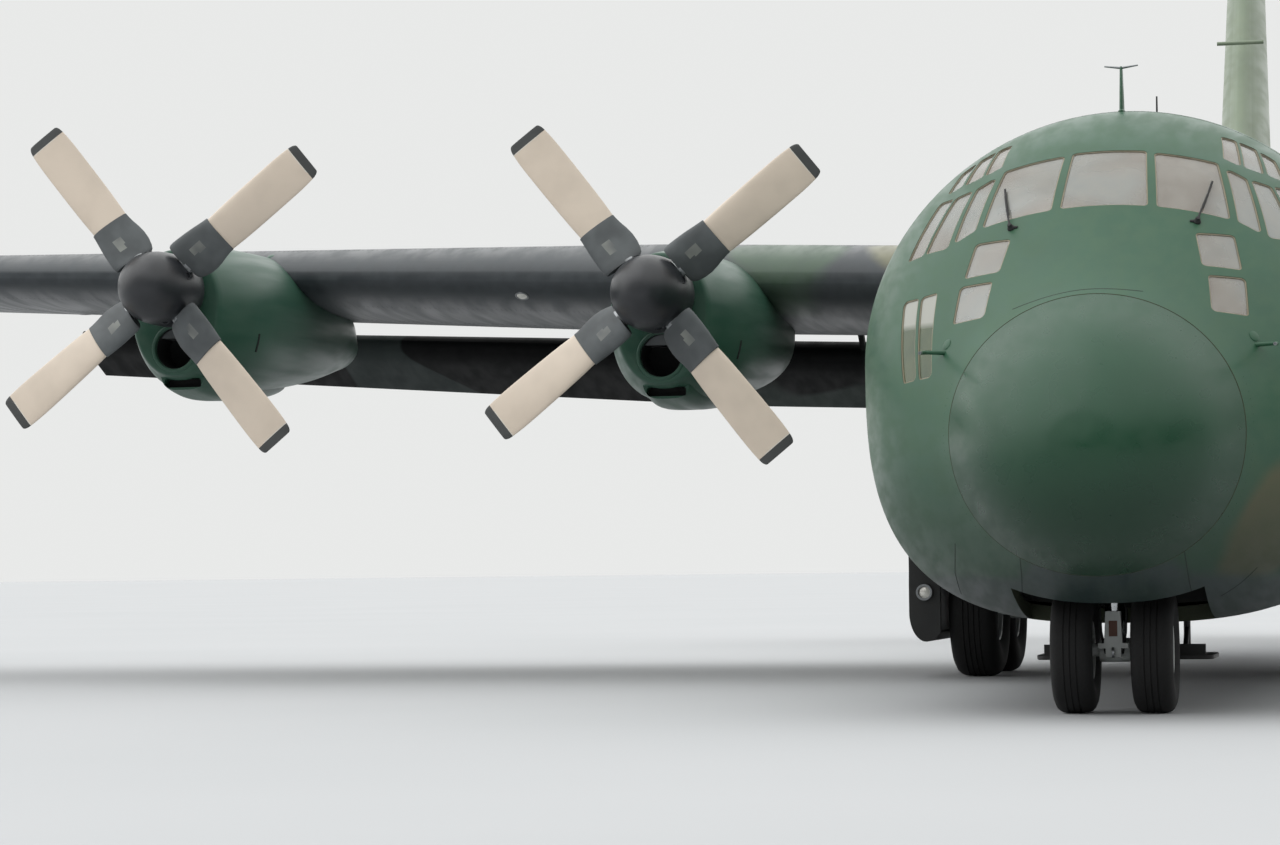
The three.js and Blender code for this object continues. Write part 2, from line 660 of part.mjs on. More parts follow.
// Left outer wing with its cove, tip and hinge pins
function outerWing() {
  const blank = outerWingBlank(0);
  const outside = 150;
  const flapBay = loft([wingJoint - 50, outerFlapEnd].map((x) => [
    wingPoint(x, coveStart, 1, -shroudThickness), wingPoint(x, shroudEnd, 1, -shroudThickness),
    wingPoint(x, shroudEnd, 1, outside), wingPoint(x, 1.08, 1, outside),
    wingPoint(x, 1.08, -1, outside), wingPoint(x, coveStart, -1, outside),
  ]));
  const aileronBay = loft([aileronInner - surfaceEndGap, aileronOuter + surfaceEndGap].map((x) => [
    wingPoint(x, aileronCove(x), 1, outside), wingPoint(x, 1.08, 1, outside),
    wingPoint(x, 1.08, -1, outside), wingPoint(x, aileronCove(x), -1, outside),
  ]));
  let wing = blank.subtract(flapBay).subtract(aileronBay);
  const [a, b] = [aileronHingePoint(aileronInner), aileronHingePoint(aileronOuter)];
  const along = b.clone().sub(a).normalize();
  wing = wing.add(bar(a.clone().addScaledVector(along, -60).toArray(), a.clone().addScaledVector(along, 150).toArray(), hingePinRadius, pinSegments));
  wing = wing.add(bar(b.clone().addScaledVector(along, -150).toArray(), b.clone().addScaledVector(along, 60).toArray(), hingePinRadius, pinSegments));
  return wing;
}

function aileron() {
  const [a, b] = [aileronHingePoint(aileronInner), aileronHingePoint(aileronOuter)];
  const along = b.clone().sub(a).normalize();
  const body = loft([aileronInner, aileronOuter].map(aileronSection));
  const bores = [[a, 1], [b, -1]].map(([point, sign]) => bar(
    point.clone().addScaledVector(along, -90 * sign).toArray(),
    point.clone().addScaledVector(along, 162 * sign).toArray(),
    hingePinRadius + hingePinGap, pinSegments,
  ));
  return mainBody(body.subtract(union(bores)));
}

const flapTracks = flapTable.map(([name, inner, outer, first, second]) => {
  const axis = flapTrackAxis(inner, outer);
  return { name, inner, outer, axis, arms: [first, second] };
});

function flap({ inner, outer, axis, arms }) {
  let body = loft([inner, outer].map(flapSection));
  const noseOverlap = THREE.MathUtils.degToRad(4);
  arms.forEach((side) => {
    body = body.add(trackArm(axis, side, -flapArmSpan, noseOverlap, 0));
  });
  return rotateAbout(body, axis, flapTurn(flapRest));
}

// Turning about the axis, which runs outward on the left side, lowers the trailing edge for a negative angle
const flapTurn = (angle) => -angle;

// Each arm passes a close-fitting mouth in the rear spar and slides in a pocket ahead of it
function trackSlots() {
  const mouthSpan = flapArmStep * 2;
  const pocketRoom = 22;
  const pocketStep = flapArmStep * 3;
  const slots = flapTracks.flatMap(({ axis, arms }) => arms.map((side) => {
    const mouth = trackArm(axis, side, -mouthSpan, mouthSpan, flapArmGap);
    const pocket = trackArm(axis, side, -flapArmSpan - flapArmStep, -mouthSpan / 2, pocketRoom, pocketStep);
    return mouth.add(pocket);
  }));
  return union(slots);
}

// Nacelles

function nacelle([, side, station, height]) {
  const rows = nacelleTable.map(([aft, ...rest]) => [station + aft, ...rest]);
  const ring = (row, inset) => {
    const points = inset > 0 ? nacelleInnerPoints : nacellePoints;
    return ovalSection(row, inset, points).map(([x, y, z]) => [x + side, y, z + height]);
  };
  const outer = loft(rows.map((row) => ring(row, 0)));
  const inner = loft(rows.map((row, index) => {
    const end = index === rows.length - 1 ? -nacelleWall : 0;
    const start = index === 0 ? nacelleWall : 0;
    return ring([row[0] + start + end, ...row.slice(1)], nacelleWall);
  }));
  const front = station + nacelleTable[0][0];
  const shaftHole = bar([side, front - 20, height], [side, front + 80, height], shaftRadius + 40, 12);
  const intake = bar([side, front - 20, height - intakeDrop], [side, front + 400, height - intakeDrop], intakeRadius, 14);
  const beams = [-1, 1].map((sign) => box(
    [side + sign * 300 + sign * seatGap, side + sign * 760].sort((a, b) => a - b),
    [station + 1300, station + 2500], [height - 640, height - 500],
  ));
  const scoop = loft(scoopTable.map(([aft, half, bottom]) => [
    [side - half, station + aft, height + scoopTop], [side - half, station + aft, height + bottom * 0.93],
    [side - half * 0.7, station + aft, height + bottom], [side + half * 0.7, station + aft, height + bottom],
    [side + half, station + aft, height + bottom * 0.93], [side + half, station + aft, height + scoopTop],
  ]));
  const mouthStation = station + scoopTable[0][0];
  const mouth = box(
    [side - scoopMouth.halfWidth, side + scoopMouth.halfWidth],
    [mouthStation - 60, mouthStation + scoopMouth.depth],
    [height + scoopMouth.low, height + scoopMouth.high],
  );
  const pipeHeight = height - exhaust.drop;
  const pipe = (from, to, radius) => bar(
    [side, station + from, pipeHeight], [side, station + to, pipeHeight], radius, exhaust.segments,
  );
  const tail = pipe(exhaust.front + 20, exhaust.back, exhaust.radius);
  const bore = pipe(exhaust.front - 20, exhaust.back + 20, exhaust.radius - exhaust.wall);
  return outer.add(scoop.subtract(mouth)).subtract(inner.subtract(union(beams)))
    .subtract(shaftHole).subtract(intake).add(tail).subtract(bore);
}

function engine([, side, station, height]) {
  const power = box([side - 300, side + 300], [station + 1050, station + 3500], [height - 710, height - 330]);
  const gearbox = box([side - 250, side + 250], [station + gearboxFront, station + 1051], [height - 480, height + 200]);
  return power.add(gearbox);
}

// Blade sections with the thick cuff at the root, set near flat pitch as on a parked aircraft.
// Columns: share of the radius, half chord, half thickness, twist in degrees
const bladeTable = [
  [0.15, 235, 88, 34],
  [0.28, 250, 70, 25],
  [0.42, 214, 54, 16],
  [0.425, 199, 40, 16],
  [0.6, 210, 32, 12],
  [0.8, 213, 20, 8],
  [0.96, 202, 11, 5],
  [1.0, 172, 8, 4],
];

function propeller([, side, station, height]) {
  const blade = loft(bladeTable.map(([share, halfChord, halfThick, twist]) => {
    const angle = THREE.MathUtils.degToRad(twist);
    const ring = [];
    for (let i = 0; i < bladeRing; i += 1) {
      const around = (i / bladeRing) * Math.PI * 2;
      const [u, v] = [Math.cos(around) * halfChord, Math.sin(around) * halfThick];
      ring.push([
        share * propellerRadius,
        v * Math.cos(angle) - u * Math.sin(angle),
        u * Math.cos(angle) + v * Math.sin(angle),
      ]);
    }
    return ring;
  }));
  const spinner = turned([
    [0, -560], [150, -525], [310, -350], [375, -60], [378, 320], [0, 320],
  ], [0, 1, 0], [0, 0, 0], 14);
  const shaft = bar([0, 300, 0], [0, gearboxFront - seatGap, 0], shaftRadius, 12);
  const blades = [];
  for (let i = 0; i < bladeCount; i += 1) {
    const turn = THREE.MathUtils.radToDeg(bladeAngle) + (i * 360) / bladeCount;
    blades.push(blade.rotate([0, -turn, 0]));
  }
  return union(spinner, shaft, blades).translate([side, station, height]);
}

// Tail

function finSection(z) {
  const share = (z - 5000) / (finTopHeight - 5000);
  const lead = finLeadingBase + (finLeadingTop - finLeadingBase) * share;
  const trail = finTrailingBase + (finTrailingTop - finTrailingBase) * share;
  const thickness = finThicknessBase + (finThicknessTop - finThicknessBase) * share;
  return { lead, trail, chord: trail - lead, half: thickness / 2 };
}
// The hinge line and the rudder's nose taper evenly from bottom to top
const onLine = (z, bottom, top) => bottom + ((top - bottom) * (z - rudderBottom)) / (rudderTop - rudderBottom);
const rudderHingeStation = (z) => onLine(z, rudderHingeBottom, rudderHingeTop);
const finHalfAt = (z, t) => {
  const { half } = finSection(z);
  return half * (halfThickness(t, 0.2) / halfThickness(0.3, 0.2));
};
const finHalfAtHinge = (z) => {
  const { lead, chord } = finSection(z);
  return finHalfAt(z, (rudderHingeStation(z) - lead) / chord);
};
const rudderNoseRadius = (z) => onLine(z, finHalfAtHinge(rudderBottom), finHalfAtHinge(rudderTop));

function finRing(z, endShare) {
  const { lead, chord } = finSection(z);
  const shares = [endShare, 0.5, 0.3, 0.15, 0.05, 0.012];
  const right = shares.map((t) => [finHalfAt(z, t), lead + t * chord, z]);
  const left = [...shares].reverse().map((t) => [-finHalfAt(z, t), lead + t * chord, z]);
  return [...right, [0, lead, z], ...left];
}

// The space inside the fin's or the rudder's skin at one height
function finHollowRing(z, shares) {
  const { lead, chord } = finSection(z);
  const right = shares.map((t) => [finHalfAt(z, t) - tailSkin, lead + t * chord, z]);
  return [...right, ...right.map(([x, y]) => [-x, y, z]).reverse()];
}

// Dorsal fillet ahead of the fin. Columns: station, low, high, half width
const finFilletTable = [
  [18700, 4700, 4900, 40],
  [20500, 4700, 5420, 150],
  [22600, 4700, 6300, 210],
];

function fin() {
  const cove = (z) => {
    const { lead, chord } = finSection(z);
    return (rudderHingeStation(z) - rudderNoseRadius(z) - moveGap - lead) / chord;
  };
  const blank = loft([finBaseHeight, finTopHeight].map((z) => finRing(z, 0.99)));
  const rudderBay = loft([finBaseHeight - 100, rudderTop + surfaceEndGap].map((z) => {
    const front = finSection(z).lead + cove(z) * finSection(z).chord;
    return [[-600, front, z], [600, front, z], [600, 30000, z], [-600, 30000, z]];
  }));
  const main = blank.subtract(rudderBay);
  const fillet = loft(finFilletTable.map(([y, low, high, half]) => [
    [-half, y, low], [half, y, low], [half, y, high - half],
    [half * 0.4, y, high], [-half * 0.4, y, high], [-half, y, high - half],
  ]));
  const aerial = bar(
    [-finAerial.reach, finAerial.station, finAerial.height], [finAerial.reach, finAerial.station, finAerial.height],
    finAerial.radius, barrelSegments,
  );
  const top = rudderHingeStation(rudderTop);
  const hingeBottom = [0, rudderHingeStation(rudderBottom), rudderBottom];
  const along = new THREE.Vector3(0, top - hingeBottom[1], rudderTop - rudderBottom).normalize();
  const topPoint = new THREE.Vector3(0, top, rudderTop);
  const pin = bar(
    topPoint.clone().addScaledVector(along, -150).toArray(), topPoint.clone().addScaledVector(along, 80).toArray(),
    hingePinRadius, pinSegments,
  );
  const rearShare = (z) => cove(z) - tailSkin / finSection(z).chord;
  const hollow = loft([finBaseHeight - 100, rudderTop - 400].map((z) => finHollowRing(z, [rearShare(z), 0.3, 0.06])));
  return union(main, fillet, pin, aerial).subtract(hollow).subtract(hull(18000, 29700, -seatGap));
}

function rudderRing(z) {
  const { lead, chord } = finSection(z);
  const hinge = rudderHingeStation(z);
  const radius = rudderNoseRadius(z);
  const ring = [];
  for (let i = 0; i <= 8; i += 1) {
    const angle = Math.PI / 2 + (i / 8) * Math.PI;
    ring.push([Math.sin(angle) * radius, hinge + Math.cos(angle) * radius, z]);
  }
  return [...ring, [-finHalfAt(z, 0.85), lead + 0.85 * chord, z], [-6, lead + chord, z], [6, lead + chord, z],
    [finHalfAt(z, 0.85), lead + 0.85 * chord, z]];
}

function rudder() {
  const bottom = new THREE.Vector3(0, rudderHingeStation(rudderBottom), rudderBottom);
  const top = new THREE.Vector3(0, rudderHingeStation(rudderTop), rudderTop);
  const along = top.clone().sub(bottom).normalize();
  const bore = bar(
    top.clone().addScaledVector(along, -162).toArray(), top.clone().addScaledVector(along, 90).toArray(),
    hingePinRadius + hingePinGap, pinSegments,
  );
  const frontShare = (z) => (rudderHingeStation(z) - finSection(z).lead) / finSection(z).chord;
  const hollow = loft([rudderBottom - 10, rudderTop - 400].map((z) => finHollowRing(z, [0.9, frontShare(z)])));
  return loft([rudderBottom, rudderTop].map(rudderRing)).subtract(hollow).subtract(bore);
}

const tailChordAt = (x) => tailplaneRootChord
  + (tailplaneTipChord - tailplaneRootChord) * (Math.abs(x) / tailplaneHalfSpan);
const tailLeadAt = (x) => {
  const trailingSweep = 260 * (Math.abs(x) / tailplaneHalfSpan);
  return tailplaneTrailing - trailingSweep - tailChordAt(x);
};
const tailHalf = (x, t) => halfThickness(t, tailplaneThickness) * tailChordAt(x);

function tailplaneRing(x, endShare, grow = 0) {
  const shares = [endShare, 0.5, 0.3, 0.15, 0.05, 0.012];
  const chord = tailChordAt(x);
  const point = (t, sign) => [
    x, tailLeadAt(x) + t * chord + (t === endShare ? grow : 0), tailplaneHeight + sign * (tailHalf(x, t) + grow),
  ];
  return [...shares.map((t) => point(t, 1)), [x, tailLeadAt(x) - grow, tailplaneHeight],
    ...[...shares].reverse().map((t) => point(t, -1))];
}
const elevatorNoseRadius = (x) => tailHalf(x, elevatorHinge);
const elevatorHingePoint = (x) => new THREE.Vector3(x, tailLeadAt(x) + elevatorHinge * tailChordAt(x), tailplaneHeight);
const elevatorCove = (x) => elevatorHinge - (elevatorNoseRadius(x) + moveGap) / tailChordAt(x);

function tailplane(grow = 0) {
  const half = () => {
    const blank = loft([0, tailplaneHalfSpan].map((x) => tailplaneRing(x, 0.99, grow)));
    const bay = loft([elevatorInner - surfaceEndGap, elevatorOuter + surfaceEndGap].map((x) => {
      const front = tailLeadAt(x) + elevatorCove(x) * tailChordAt(x) + grow;
      const [low, high] = [tailplaneHeight - 400, tailplaneHeight + 400];
      return [[x, front, low], [x, 30000, low], [x, 30000, high], [x, front, high]];
    }));
    const [a, b] = [elevatorHingePoint(elevatorInner), elevatorHingePoint(elevatorOuter)];
    const along = b.clone().sub(a).normalize();
    const pins = [[a, 1], [b, -1]].map(([point, sign]) => bar(
      point.clone().addScaledVector(along, -60 * sign).toArray(),
      point.clone().addScaledVector(along, 150 * sign).toArray(), hingePinRadius, pinSegments,
    ));
    return blank.subtract(bay).add(union(pins));
  };
  const left = half();
  return left.add(mirror(left));
}

// The tailplane's spar box is hollow, with its opening inside the fuselage
function tailplaneHollow() {
  const ring = (x) => {
    const shares = [elevatorCove(x) - tailSkin / tailChordAt(x), 0.3, 0.09];
    const point = (t, sign) => [x, tailLeadAt(x) + t * tailChordAt(x), tailplaneHeight + sign * (tailHalf(x, t) - tailSkin)];
    return [...shares.map((t) => point(t, 1)), ...[...shares].reverse().map((t) => point(t, -1))];
  };
  const half = loft([-1, elevatorOuter - 400].map(ring));
  const opening = box([-150, 150], [26200, 26600], [tailplaneHeight - 400, tailplaneHeight]);
  return union(half, mirror(half), opening);
}

function elevator() {
  const section = (x) => [
    [x, tailLeadAt(x) + tailChordAt(x), tailplaneHeight + 5],
    [x, tailLeadAt(x) + 0.85 * tailChordAt(x), tailplaneHeight + tailHalf(x, 0.85)],
    ...noseArc(elevatorHingePoint(x), elevatorNoseRadius(x), new THREE.Vector3(0, 0, 1), new THREE.Vector3(0, 1, 0)),
    [x, tailLeadAt(x) + 0.85 * tailChordAt(x), tailplaneHeight - tailHalf(x, 0.85)],
    [x, tailLeadAt(x) + tailChordAt(x), tailplaneHeight - 5],
  ];
  const [a, b] = [elevatorHingePoint(elevatorInner), elevatorHingePoint(elevatorOuter)];
  const along = b.clone().sub(a).normalize();
  const bores = [[a, 1], [b, -1]].map(([point, sign]) => bar(
    point.clone().addScaledVector(along, -90 * sign).toArray(),
    point.clone().addScaledVector(along, 162 * sign).toArray(), hingePinRadius + hingePinGap, pinSegments,
  ));
  return mainBody(loft([elevatorInner, elevatorOuter].map(section)).subtract(union(bores)));
}

// Landing gear

// Sponson outline on the left. Columns: station, outer side, bottom, top
const sponsonTable = [
  [8700, 2150, 1350, 1750],
  [9100, 2520, 1120, 2050],
  [9700, 2760, 1040, 2230],
  [10400, 2860, 1020, 2300],
  [13200, 2860, 1020, 2300],
  [14300, 2700, 1060, 2200],
  [15300, 2300, 1300, 1850],
];
const sponsonWall = 60;

function sponsonLoft(inset) {
  return loft(sponsonTable.map(([y, outer, bottom, top], index) => {
    const end = inset > 0 && (index === 0 || index === sponsonTable.length - 1);
    const shift = end ? (index === 0 ? inset : -inset) : 0;
    const [o, b, t] = [outer - inset, bottom + inset, top - inset];
    const inner = 1500;
    const corner = (t - b) * 0.32;
    return [
      [inner, y + shift, b], [o - corner, y + shift, b], [o - corner * 0.3, y + shift, b + corner * 0.3],
      [o, y + shift, b + corner], [o, y + shift, t - corner], [o - corner * 0.3, y + shift, t - corner * 0.3],
      [o - corner, y + shift, t], [inner, y + shift, t],
    ];
  }));
}

function sponson() {
  const bay = box([1400, 2760], [wellFront + 20, wellBack - 20], [900, 1500]);
  return mainBody(sponsonLoft(0).subtract(sponsonLoft(sponsonWall)).subtract(bay).subtract(hull(8000, 16300, -seatGap)));
}

// The open main gear door hangs below the sponson's outer edge as a shallow tray
function mainGearDoor() {
  const [inner, outer, top] = [2530, 2858, 1460];
  const tray = (from, to, inset, innerSide) => loft([from, to].map((y) => [
    [innerSide, y, top], [innerSide, y, 480 + inset], [2600, y, 400 + inset], [2700, y, 385 + inset],
    [2790 - inset * 0.6, y, 450 + inset], [2850 - inset, y, 600 + inset * 0.6], [outer - inset, y, top],
  ]));
  const lip = box([2400, 2858], [10100, 13350], [950, top]);
  const hollow = tray(10200, 13250, 50, inner - 60).subtract(lip);
  const { side, station, height, radius, depth } = taxiLamp;
  const lamp = bar([side, station - depth, height], [side, station + 30, height], radius, 12);
  return mainBody(tray(10150, 13300, 0, inner).subtract(hollow).subtract(sponsonLoft(-seatGap)).add(lamp));
}

function mainLeg() {
  const strutSide = 1800;
  const axleEnd = mainWheelSide + 60;
  const struts = mainWheelStations.flatMap((y) => [
    bar([strutSide, y, mainTyreRadius - 90], [strutSide, y, 1350], 75, pinSegments),
    bar([strutSide, y, 1349], [strutSide, y, wellTop - seatGap], 100, pinSegments),
    bar([strutSide, y, mainTyreRadius], [axleEnd, y, mainTyreRadius], mainAxleRadius),
  ]);
  const [front, back] = mainWheelStations;
  const beam = box([strutSide - 45, strutSide + 45], [front, back], [1560, 1700]);
  return union(struts, beam);
}

function wheelHub(side, y, height, rim, halfWidth, bore, dish) {
  const profile = [
    [bore, -halfWidth * 0.55], [rim * 0.7, -halfWidth * dish], [rim, -halfWidth * 0.8],
    [rim, halfWidth * 0.8], [rim * 0.7, halfWidth * dish], [bore, halfWidth * 0.55], [bore, -halfWidth * 0.55],
  ];
  return turned(profile, [1, 0, 0], [side, y, height], wheelSegments);
}

function tyre(side, y, radius, rim, halfWidth) {
  const inner = rim + seatGap;
  const profile = [
    [inner, -halfWidth * 0.75], [rim + (radius - rim) * 0.5, -halfWidth], [radius * 0.95, -halfWidth * 0.8],
    [radius, -halfWidth * 0.4], [radius, halfWidth * 0.4], [radius * 0.95, halfWidth * 0.8],
    [rim + (radius - rim) * 0.5, halfWidth], [inner, halfWidth * 0.75], [inner, -halfWidth * 0.75],
  ];
  return turned(profile, [1, 0, 0], [side, y, radius], wheelSegments);
}

// The strut turns with the wheels below the leg's flat end
const steeringSplit = 1050;

function noseLeg() {
  const top = noseWellTop - 30 - seatGap;
  const tube = bar([0, noseWheelStation, steeringSplit], [0, noseWheelStation, top], 105, pinSegments);
  const brace = bar([0, noseWheelStation, 1500], [0, noseBayBack - 70, 1975], 45, 12);
  const backPad = box([-80, 80], [noseBayBack - 80, noseBayBack - seatGap], [1920, 2060]);
  return union(tube, brace, backPad);
}

function noseFork() {
  const barrel = bar([0, noseWheelStation, noseTyreRadius - 80], [0, noseWheelStation, steeringSplit - seatGap], 80, pinSegments);
  const collar = bar([0, noseWheelStation, steeringSplit - 120], [0, noseWheelStation, steeringSplit - 12], 125, pinSegments);
  const knuckle = bar([-120, noseWheelStation, noseTyreRadius], [120, noseWheelStation, noseTyreRadius], 95);
  const towFitting = box([-60, 60], [noseWheelStation - 190, noseWheelStation - 60], [noseTyreRadius - 50, noseTyreRadius + 50]);
  const bore = bar([-300, noseWheelStation, noseTyreRadius], [300, noseWheelStation, noseTyreRadius], noseAxleRadius + axleGap);
  return union(barrel, collar, knuckle, towFitting).subtract(bore);
}

// The axle and both hubs are one turned piece
function noseWheelSet() {
  const hub = (side) => {
    const at = (share) => side * noseWheelSide + share * noseTyreHalfWidth;
    return [
      [noseAxleRadius, at(-0.55)], [noseRimRadius * 0.7, at(-0.3)], [noseRimRadius, at(-0.8)],
      [noseRimRadius, at(0.8)], [noseRimRadius * 0.7, at(0.3)], [noseAxleRadius, at(0.55)],
    ];
  };
  const end = noseWheelSide + 0.6 * noseTyreHalfWidth + 20;
  const profile = [[0, -end], [noseAxleRadius, -end], ...hub(-1), ...hub(1), [noseAxleRadius, end], [0, end]];
  return turned(profile, [1, 0, 0], [0, noseWheelStation, noseTyreRadius], wheelSegments);
}

const noseWellTop = 2200;
const noseWellFront = 1250;
const noseWellWall = 30;

function noseWheelWell() {
  const outer = box(
    [-noseBayHalfWidth - noseWellWall, noseBayHalfWidth + noseWellWall],
    [noseWellFront, noseBayBack + noseWellWall], [600, noseWellTop],
  );
  const inner = box(
    [-noseBayHalfWidth, noseBayHalfWidth], [noseWellFront + noseWellWall, noseBayBack], [500, noseWellTop - noseWellWall],
  );
  return mainBody(outer.subtract(inner).intersect(insideHull(1000, noseEnd)));
}

function noseGearDoor() {
  const plate = box([-715, 715], [3030, 3760], [395, 435]);
  const lip = box([-715, 715], [3030, 3070], [434, 520]);
  const struts = [-480, 480].flatMap((x) => [
    bar([x, 3400, 430], [x, 3400, 760], 28, 12),
    bar([x, 3100, 430], [x, 3390, 640], 22, 12),
  ]);
  return union(plate, lip, struts).subtract(hull(2600, noseEnd, -seatGap));
}

// Cabin

function seat(x, y) {
  return union(
    box([x - 60, x + 60], [y + 100, y + 300], [deckTop - 1, deckTop + 330]),
    box([x - 250, x + 250], [y, y + 470], [deckTop + 329, deckTop + 450]),
    box([x - 240, x + 240], [y + 400, y + 500], [deckTop + 449, deckTop + 1080]),
    box([x - 130, x + 130], [y + 410, y + 490], [deckTop + 1079, deckTop + 1260]),
  );
}

const glazingFoot = 2540;
const glazingThickness = 14;

// Seats: pilot, co-pilot, engineer, navigator. Columns: side, station
const seatTable = [[620, 2480], [-620, 2480], [0, 3080], [-1000, 3180]];

function flightDeck() {
  const deck = box([-2100, 2100], [1150, bulkheadStation + 1], [deckTop - deckThickness, deckTop]);
  const stairwell = box([780, 2200], [2650, bulkheadStation + 200], [2300, 2600]);
  const bulkhead = box(
    [-2200, 2200], [bulkheadStation, bulkheadStation + bulkheadThickness], [600, 5000],
  ).subtract(box([780, 1500], [bulkheadStation - 50, bulkheadStation + 100], [1100, 3050]));
  const panel = box([-1050, 1050], [2020, 2110], [deckTop - 1, deckTop + 1150]);
  const shroud = box([-1050, 1050], [1990, 2260], [deckTop + 1149, deckTop + 1180]);
  const pedestal = box([-180, 180], [2105, 2820], [deckTop - 1, deckTop + 620]);
  const kneeSpace = [-620, 620].map((x) => box([x - 230, x + 230], [1980, 2150], [deckTop, deckTop + 520]));
  const seats = seatTable.map(([x, y]) => seat(x, y));
  const whole = union(deck.subtract(stairwell), bulkhead, panel.subtract(union(kneeSpace)), shroud, pedestal, seats);
  const belowGlazing = insideHull(1000, noseEnd).intersect(box([-2300, 2300], [1000, noseEnd], [500, glazingFoot - 5]));
  const behindGlazing = hull(1000, noseEnd, shellWall + seatGap + glazingThickness + 2);
  return mainBody(whole.intersect(belowGlazing.add(behindGlazing)));
}

function glazing() {
  const outer = insideHull(1060, 3620);
  const inner = hull(1055, 3625, shellWall + seatGap + glazingThickness);
  const zone = box([-2300, 2300], [1100, 3600], [glazingFoot, 4900]);
  return mainBody(outer.subtract(inner).intersect(zone).subtract(sideDoorBox(crewDoor, moveGap, 1)));
}

// The hold's side walls step in around the main wheels
function cargoShell() {
  const shell = hullShell(noseEnd + seatGap, cargoEnd, shellWall);
  const wellBox = (grow, outer) => box(
    [wellInner - grow, outer], [wellFront - grow, wellBack + grow], [400, wellTop + grow],
  );
  const lining = wellBox(30, 2250).subtract(wellBox(0, 2300)).intersect(hull(9000, 15000, 20));
  const linings = union(lining, mirror(lining));
  const wells = union(wellBox(0, 2400), mirror(wellBox(0, 2400)));
  const wingHole = [1, -1].map((sign) => {
    const half = wingLoft([-10, 2600], coveStart, true, seatGap);
    return sign > 0 ? half : mirror(half);
  });
  const portholes = [5400, 8000, 15000].map((y) => bar([-2400, y, 2950], [2400, y, 2950], 170, 12));
  return mainBody(shell.subtract(wells).add(linings).subtract(union(wingHole)).subtract(union(portholes)));
}

function tailShell() {
  const shell = hull(cargoEnd + seatGap, overallLength, 0).subtract(hull(cargoEnd - 5, 29000, tailWall));
  const rear = union(
    planPrism(rampPlan(moveGap), 300, rearOpeningTop),
    planPrism(cargoDoorPlan(moveGap), 300, rearOpeningTop),
  );
  const doors = [1, -1].map((side) => sideDoorBox(paraDoor, 0, side));
  const tailHole = tailplane(seatGap).intersect(box([-2300, 2300], [20000, 29700], [3000, 6000]));
  const frames = [...rampHinges, ...cargoHinges].map(({ frame }) => frame);
  return mainBody(shell.subtract(rear).subtract(union(doors)).subtract(tailHole).add(union(frames)));
}

const wallPiece = (from, to, wall, cutter) => hullShell(from, to, wall).intersect(cutter);

// What lies ahead of the leaning face between the ramp and the cargo door
function aheadOfSplit(offset) {
  const { front, back } = rampOutline;
  const foot = back + offset;
  const rise = 1400;
  return sidePrism([
    [front - 100, 300], [foot + 600 * Math.tan(rearSplitLean), 1000], [foot, 1600],
    [foot - rise * Math.tan(rearSplitLean), 3000], [front - 100, 3000],
  ], -1700, 1700);
}

function ramp() {
  const { front, back, halfWidth } = rampOutline;
  const underFloor = (inset) => sidePrism([
    [front + inset, 300], [back + 400, 300], [back + 400, rampFloorBack - inset],
    [back, rampFloorBack - inset], [front + inset, cargoFloorTop - inset],
  ], -halfWidth + inset, halfWidth - inset);
  const outside = hull(front, back + 400, 0).intersect(underFloor(0)).intersect(aheadOfSplit(-moveGap));
  const inside = hull(front, back + 400, tailWall).intersect(underFloor(tailWall));
  const eyes = rampHinges.map(({ eye }) => eye);
  return mainBody(outside.subtract(inside).add(union(eyes)));
}

function cargoDoor() {
  const { back } = cargoDoorOutline;
  const plan = planPrism(cargoDoorPlan(0), 300, rearOpeningTop);
  const piece = wallPiece(rampOutline.back - 1000, back, tailWall, plan).subtract(aheadOfSplit(0));
  return mainBody(piece.add(union(cargoHinges.map(({ eye }) => eye))));
}

function noseShell() {
  const bay = box([-noseBayHalfWidth, noseBayHalfWidth], [noseBayFront, noseBayBack], [300, 1400]);
  return mainBody(hullShell(radomeEnd + seatGap, noseEnd, shellWall)
    .subtract(windowCutters()).subtract(bay).subtract(sideDoorBox(crewDoor, moveGap, 1))
    .add(union(crewHinges.map(({ frame }) => frame))).add(noseAerials()));
}

// A probe on a short post on each cheek, and the mast with its crossbar over the flight deck
function noseAerials() {
  const { side, station, height, reach, length, radius } = probe;
  const post = bar([side - 50, station + 20, height - 5], [side + reach, station - 60, height], radius, barrelSegments);
  const tube = bar(
    [side + reach, station - 30, height], [side + reach, station - length, height - 20], radius, barrelSegments,
  );
  const blade = box(
    [-mast.halfWidth, mast.halfWidth], [mast.station - mast.halfChord, mast.station + mast.halfChord], [mast.foot, mast.top],
  );
  const arm = bar(
    [-mast.armHalf, mast.station, mast.top], [mast.armHalf, mast.station, mast.top], mast.armRadius, barrelSegments,
  );
  const pair = post.add(tube);
  return union(pair, mirror(pair), blade, arm);
}

function radome() {
  const inner = hull(60, radomeEnd + 5, radomeWall);
  return hull(0, radomeEnd, 0).subtract(inner);
}

// Assembly

addNode("radome", radome(), skinGreen);
addNode("nose_shell", noseShell(), skinGreen);
addNode("cargo_shell", cargoShell(), skinGreen);
addNode("tail_shell", tailShell(), skinGreen);
addNode("flight_deck", flightDeck(), cabinGrey);
addNode("glazing", glazing(), clearGlass);
addNode("nose_wheel_well", noseWheelWell(), cabinGrey);

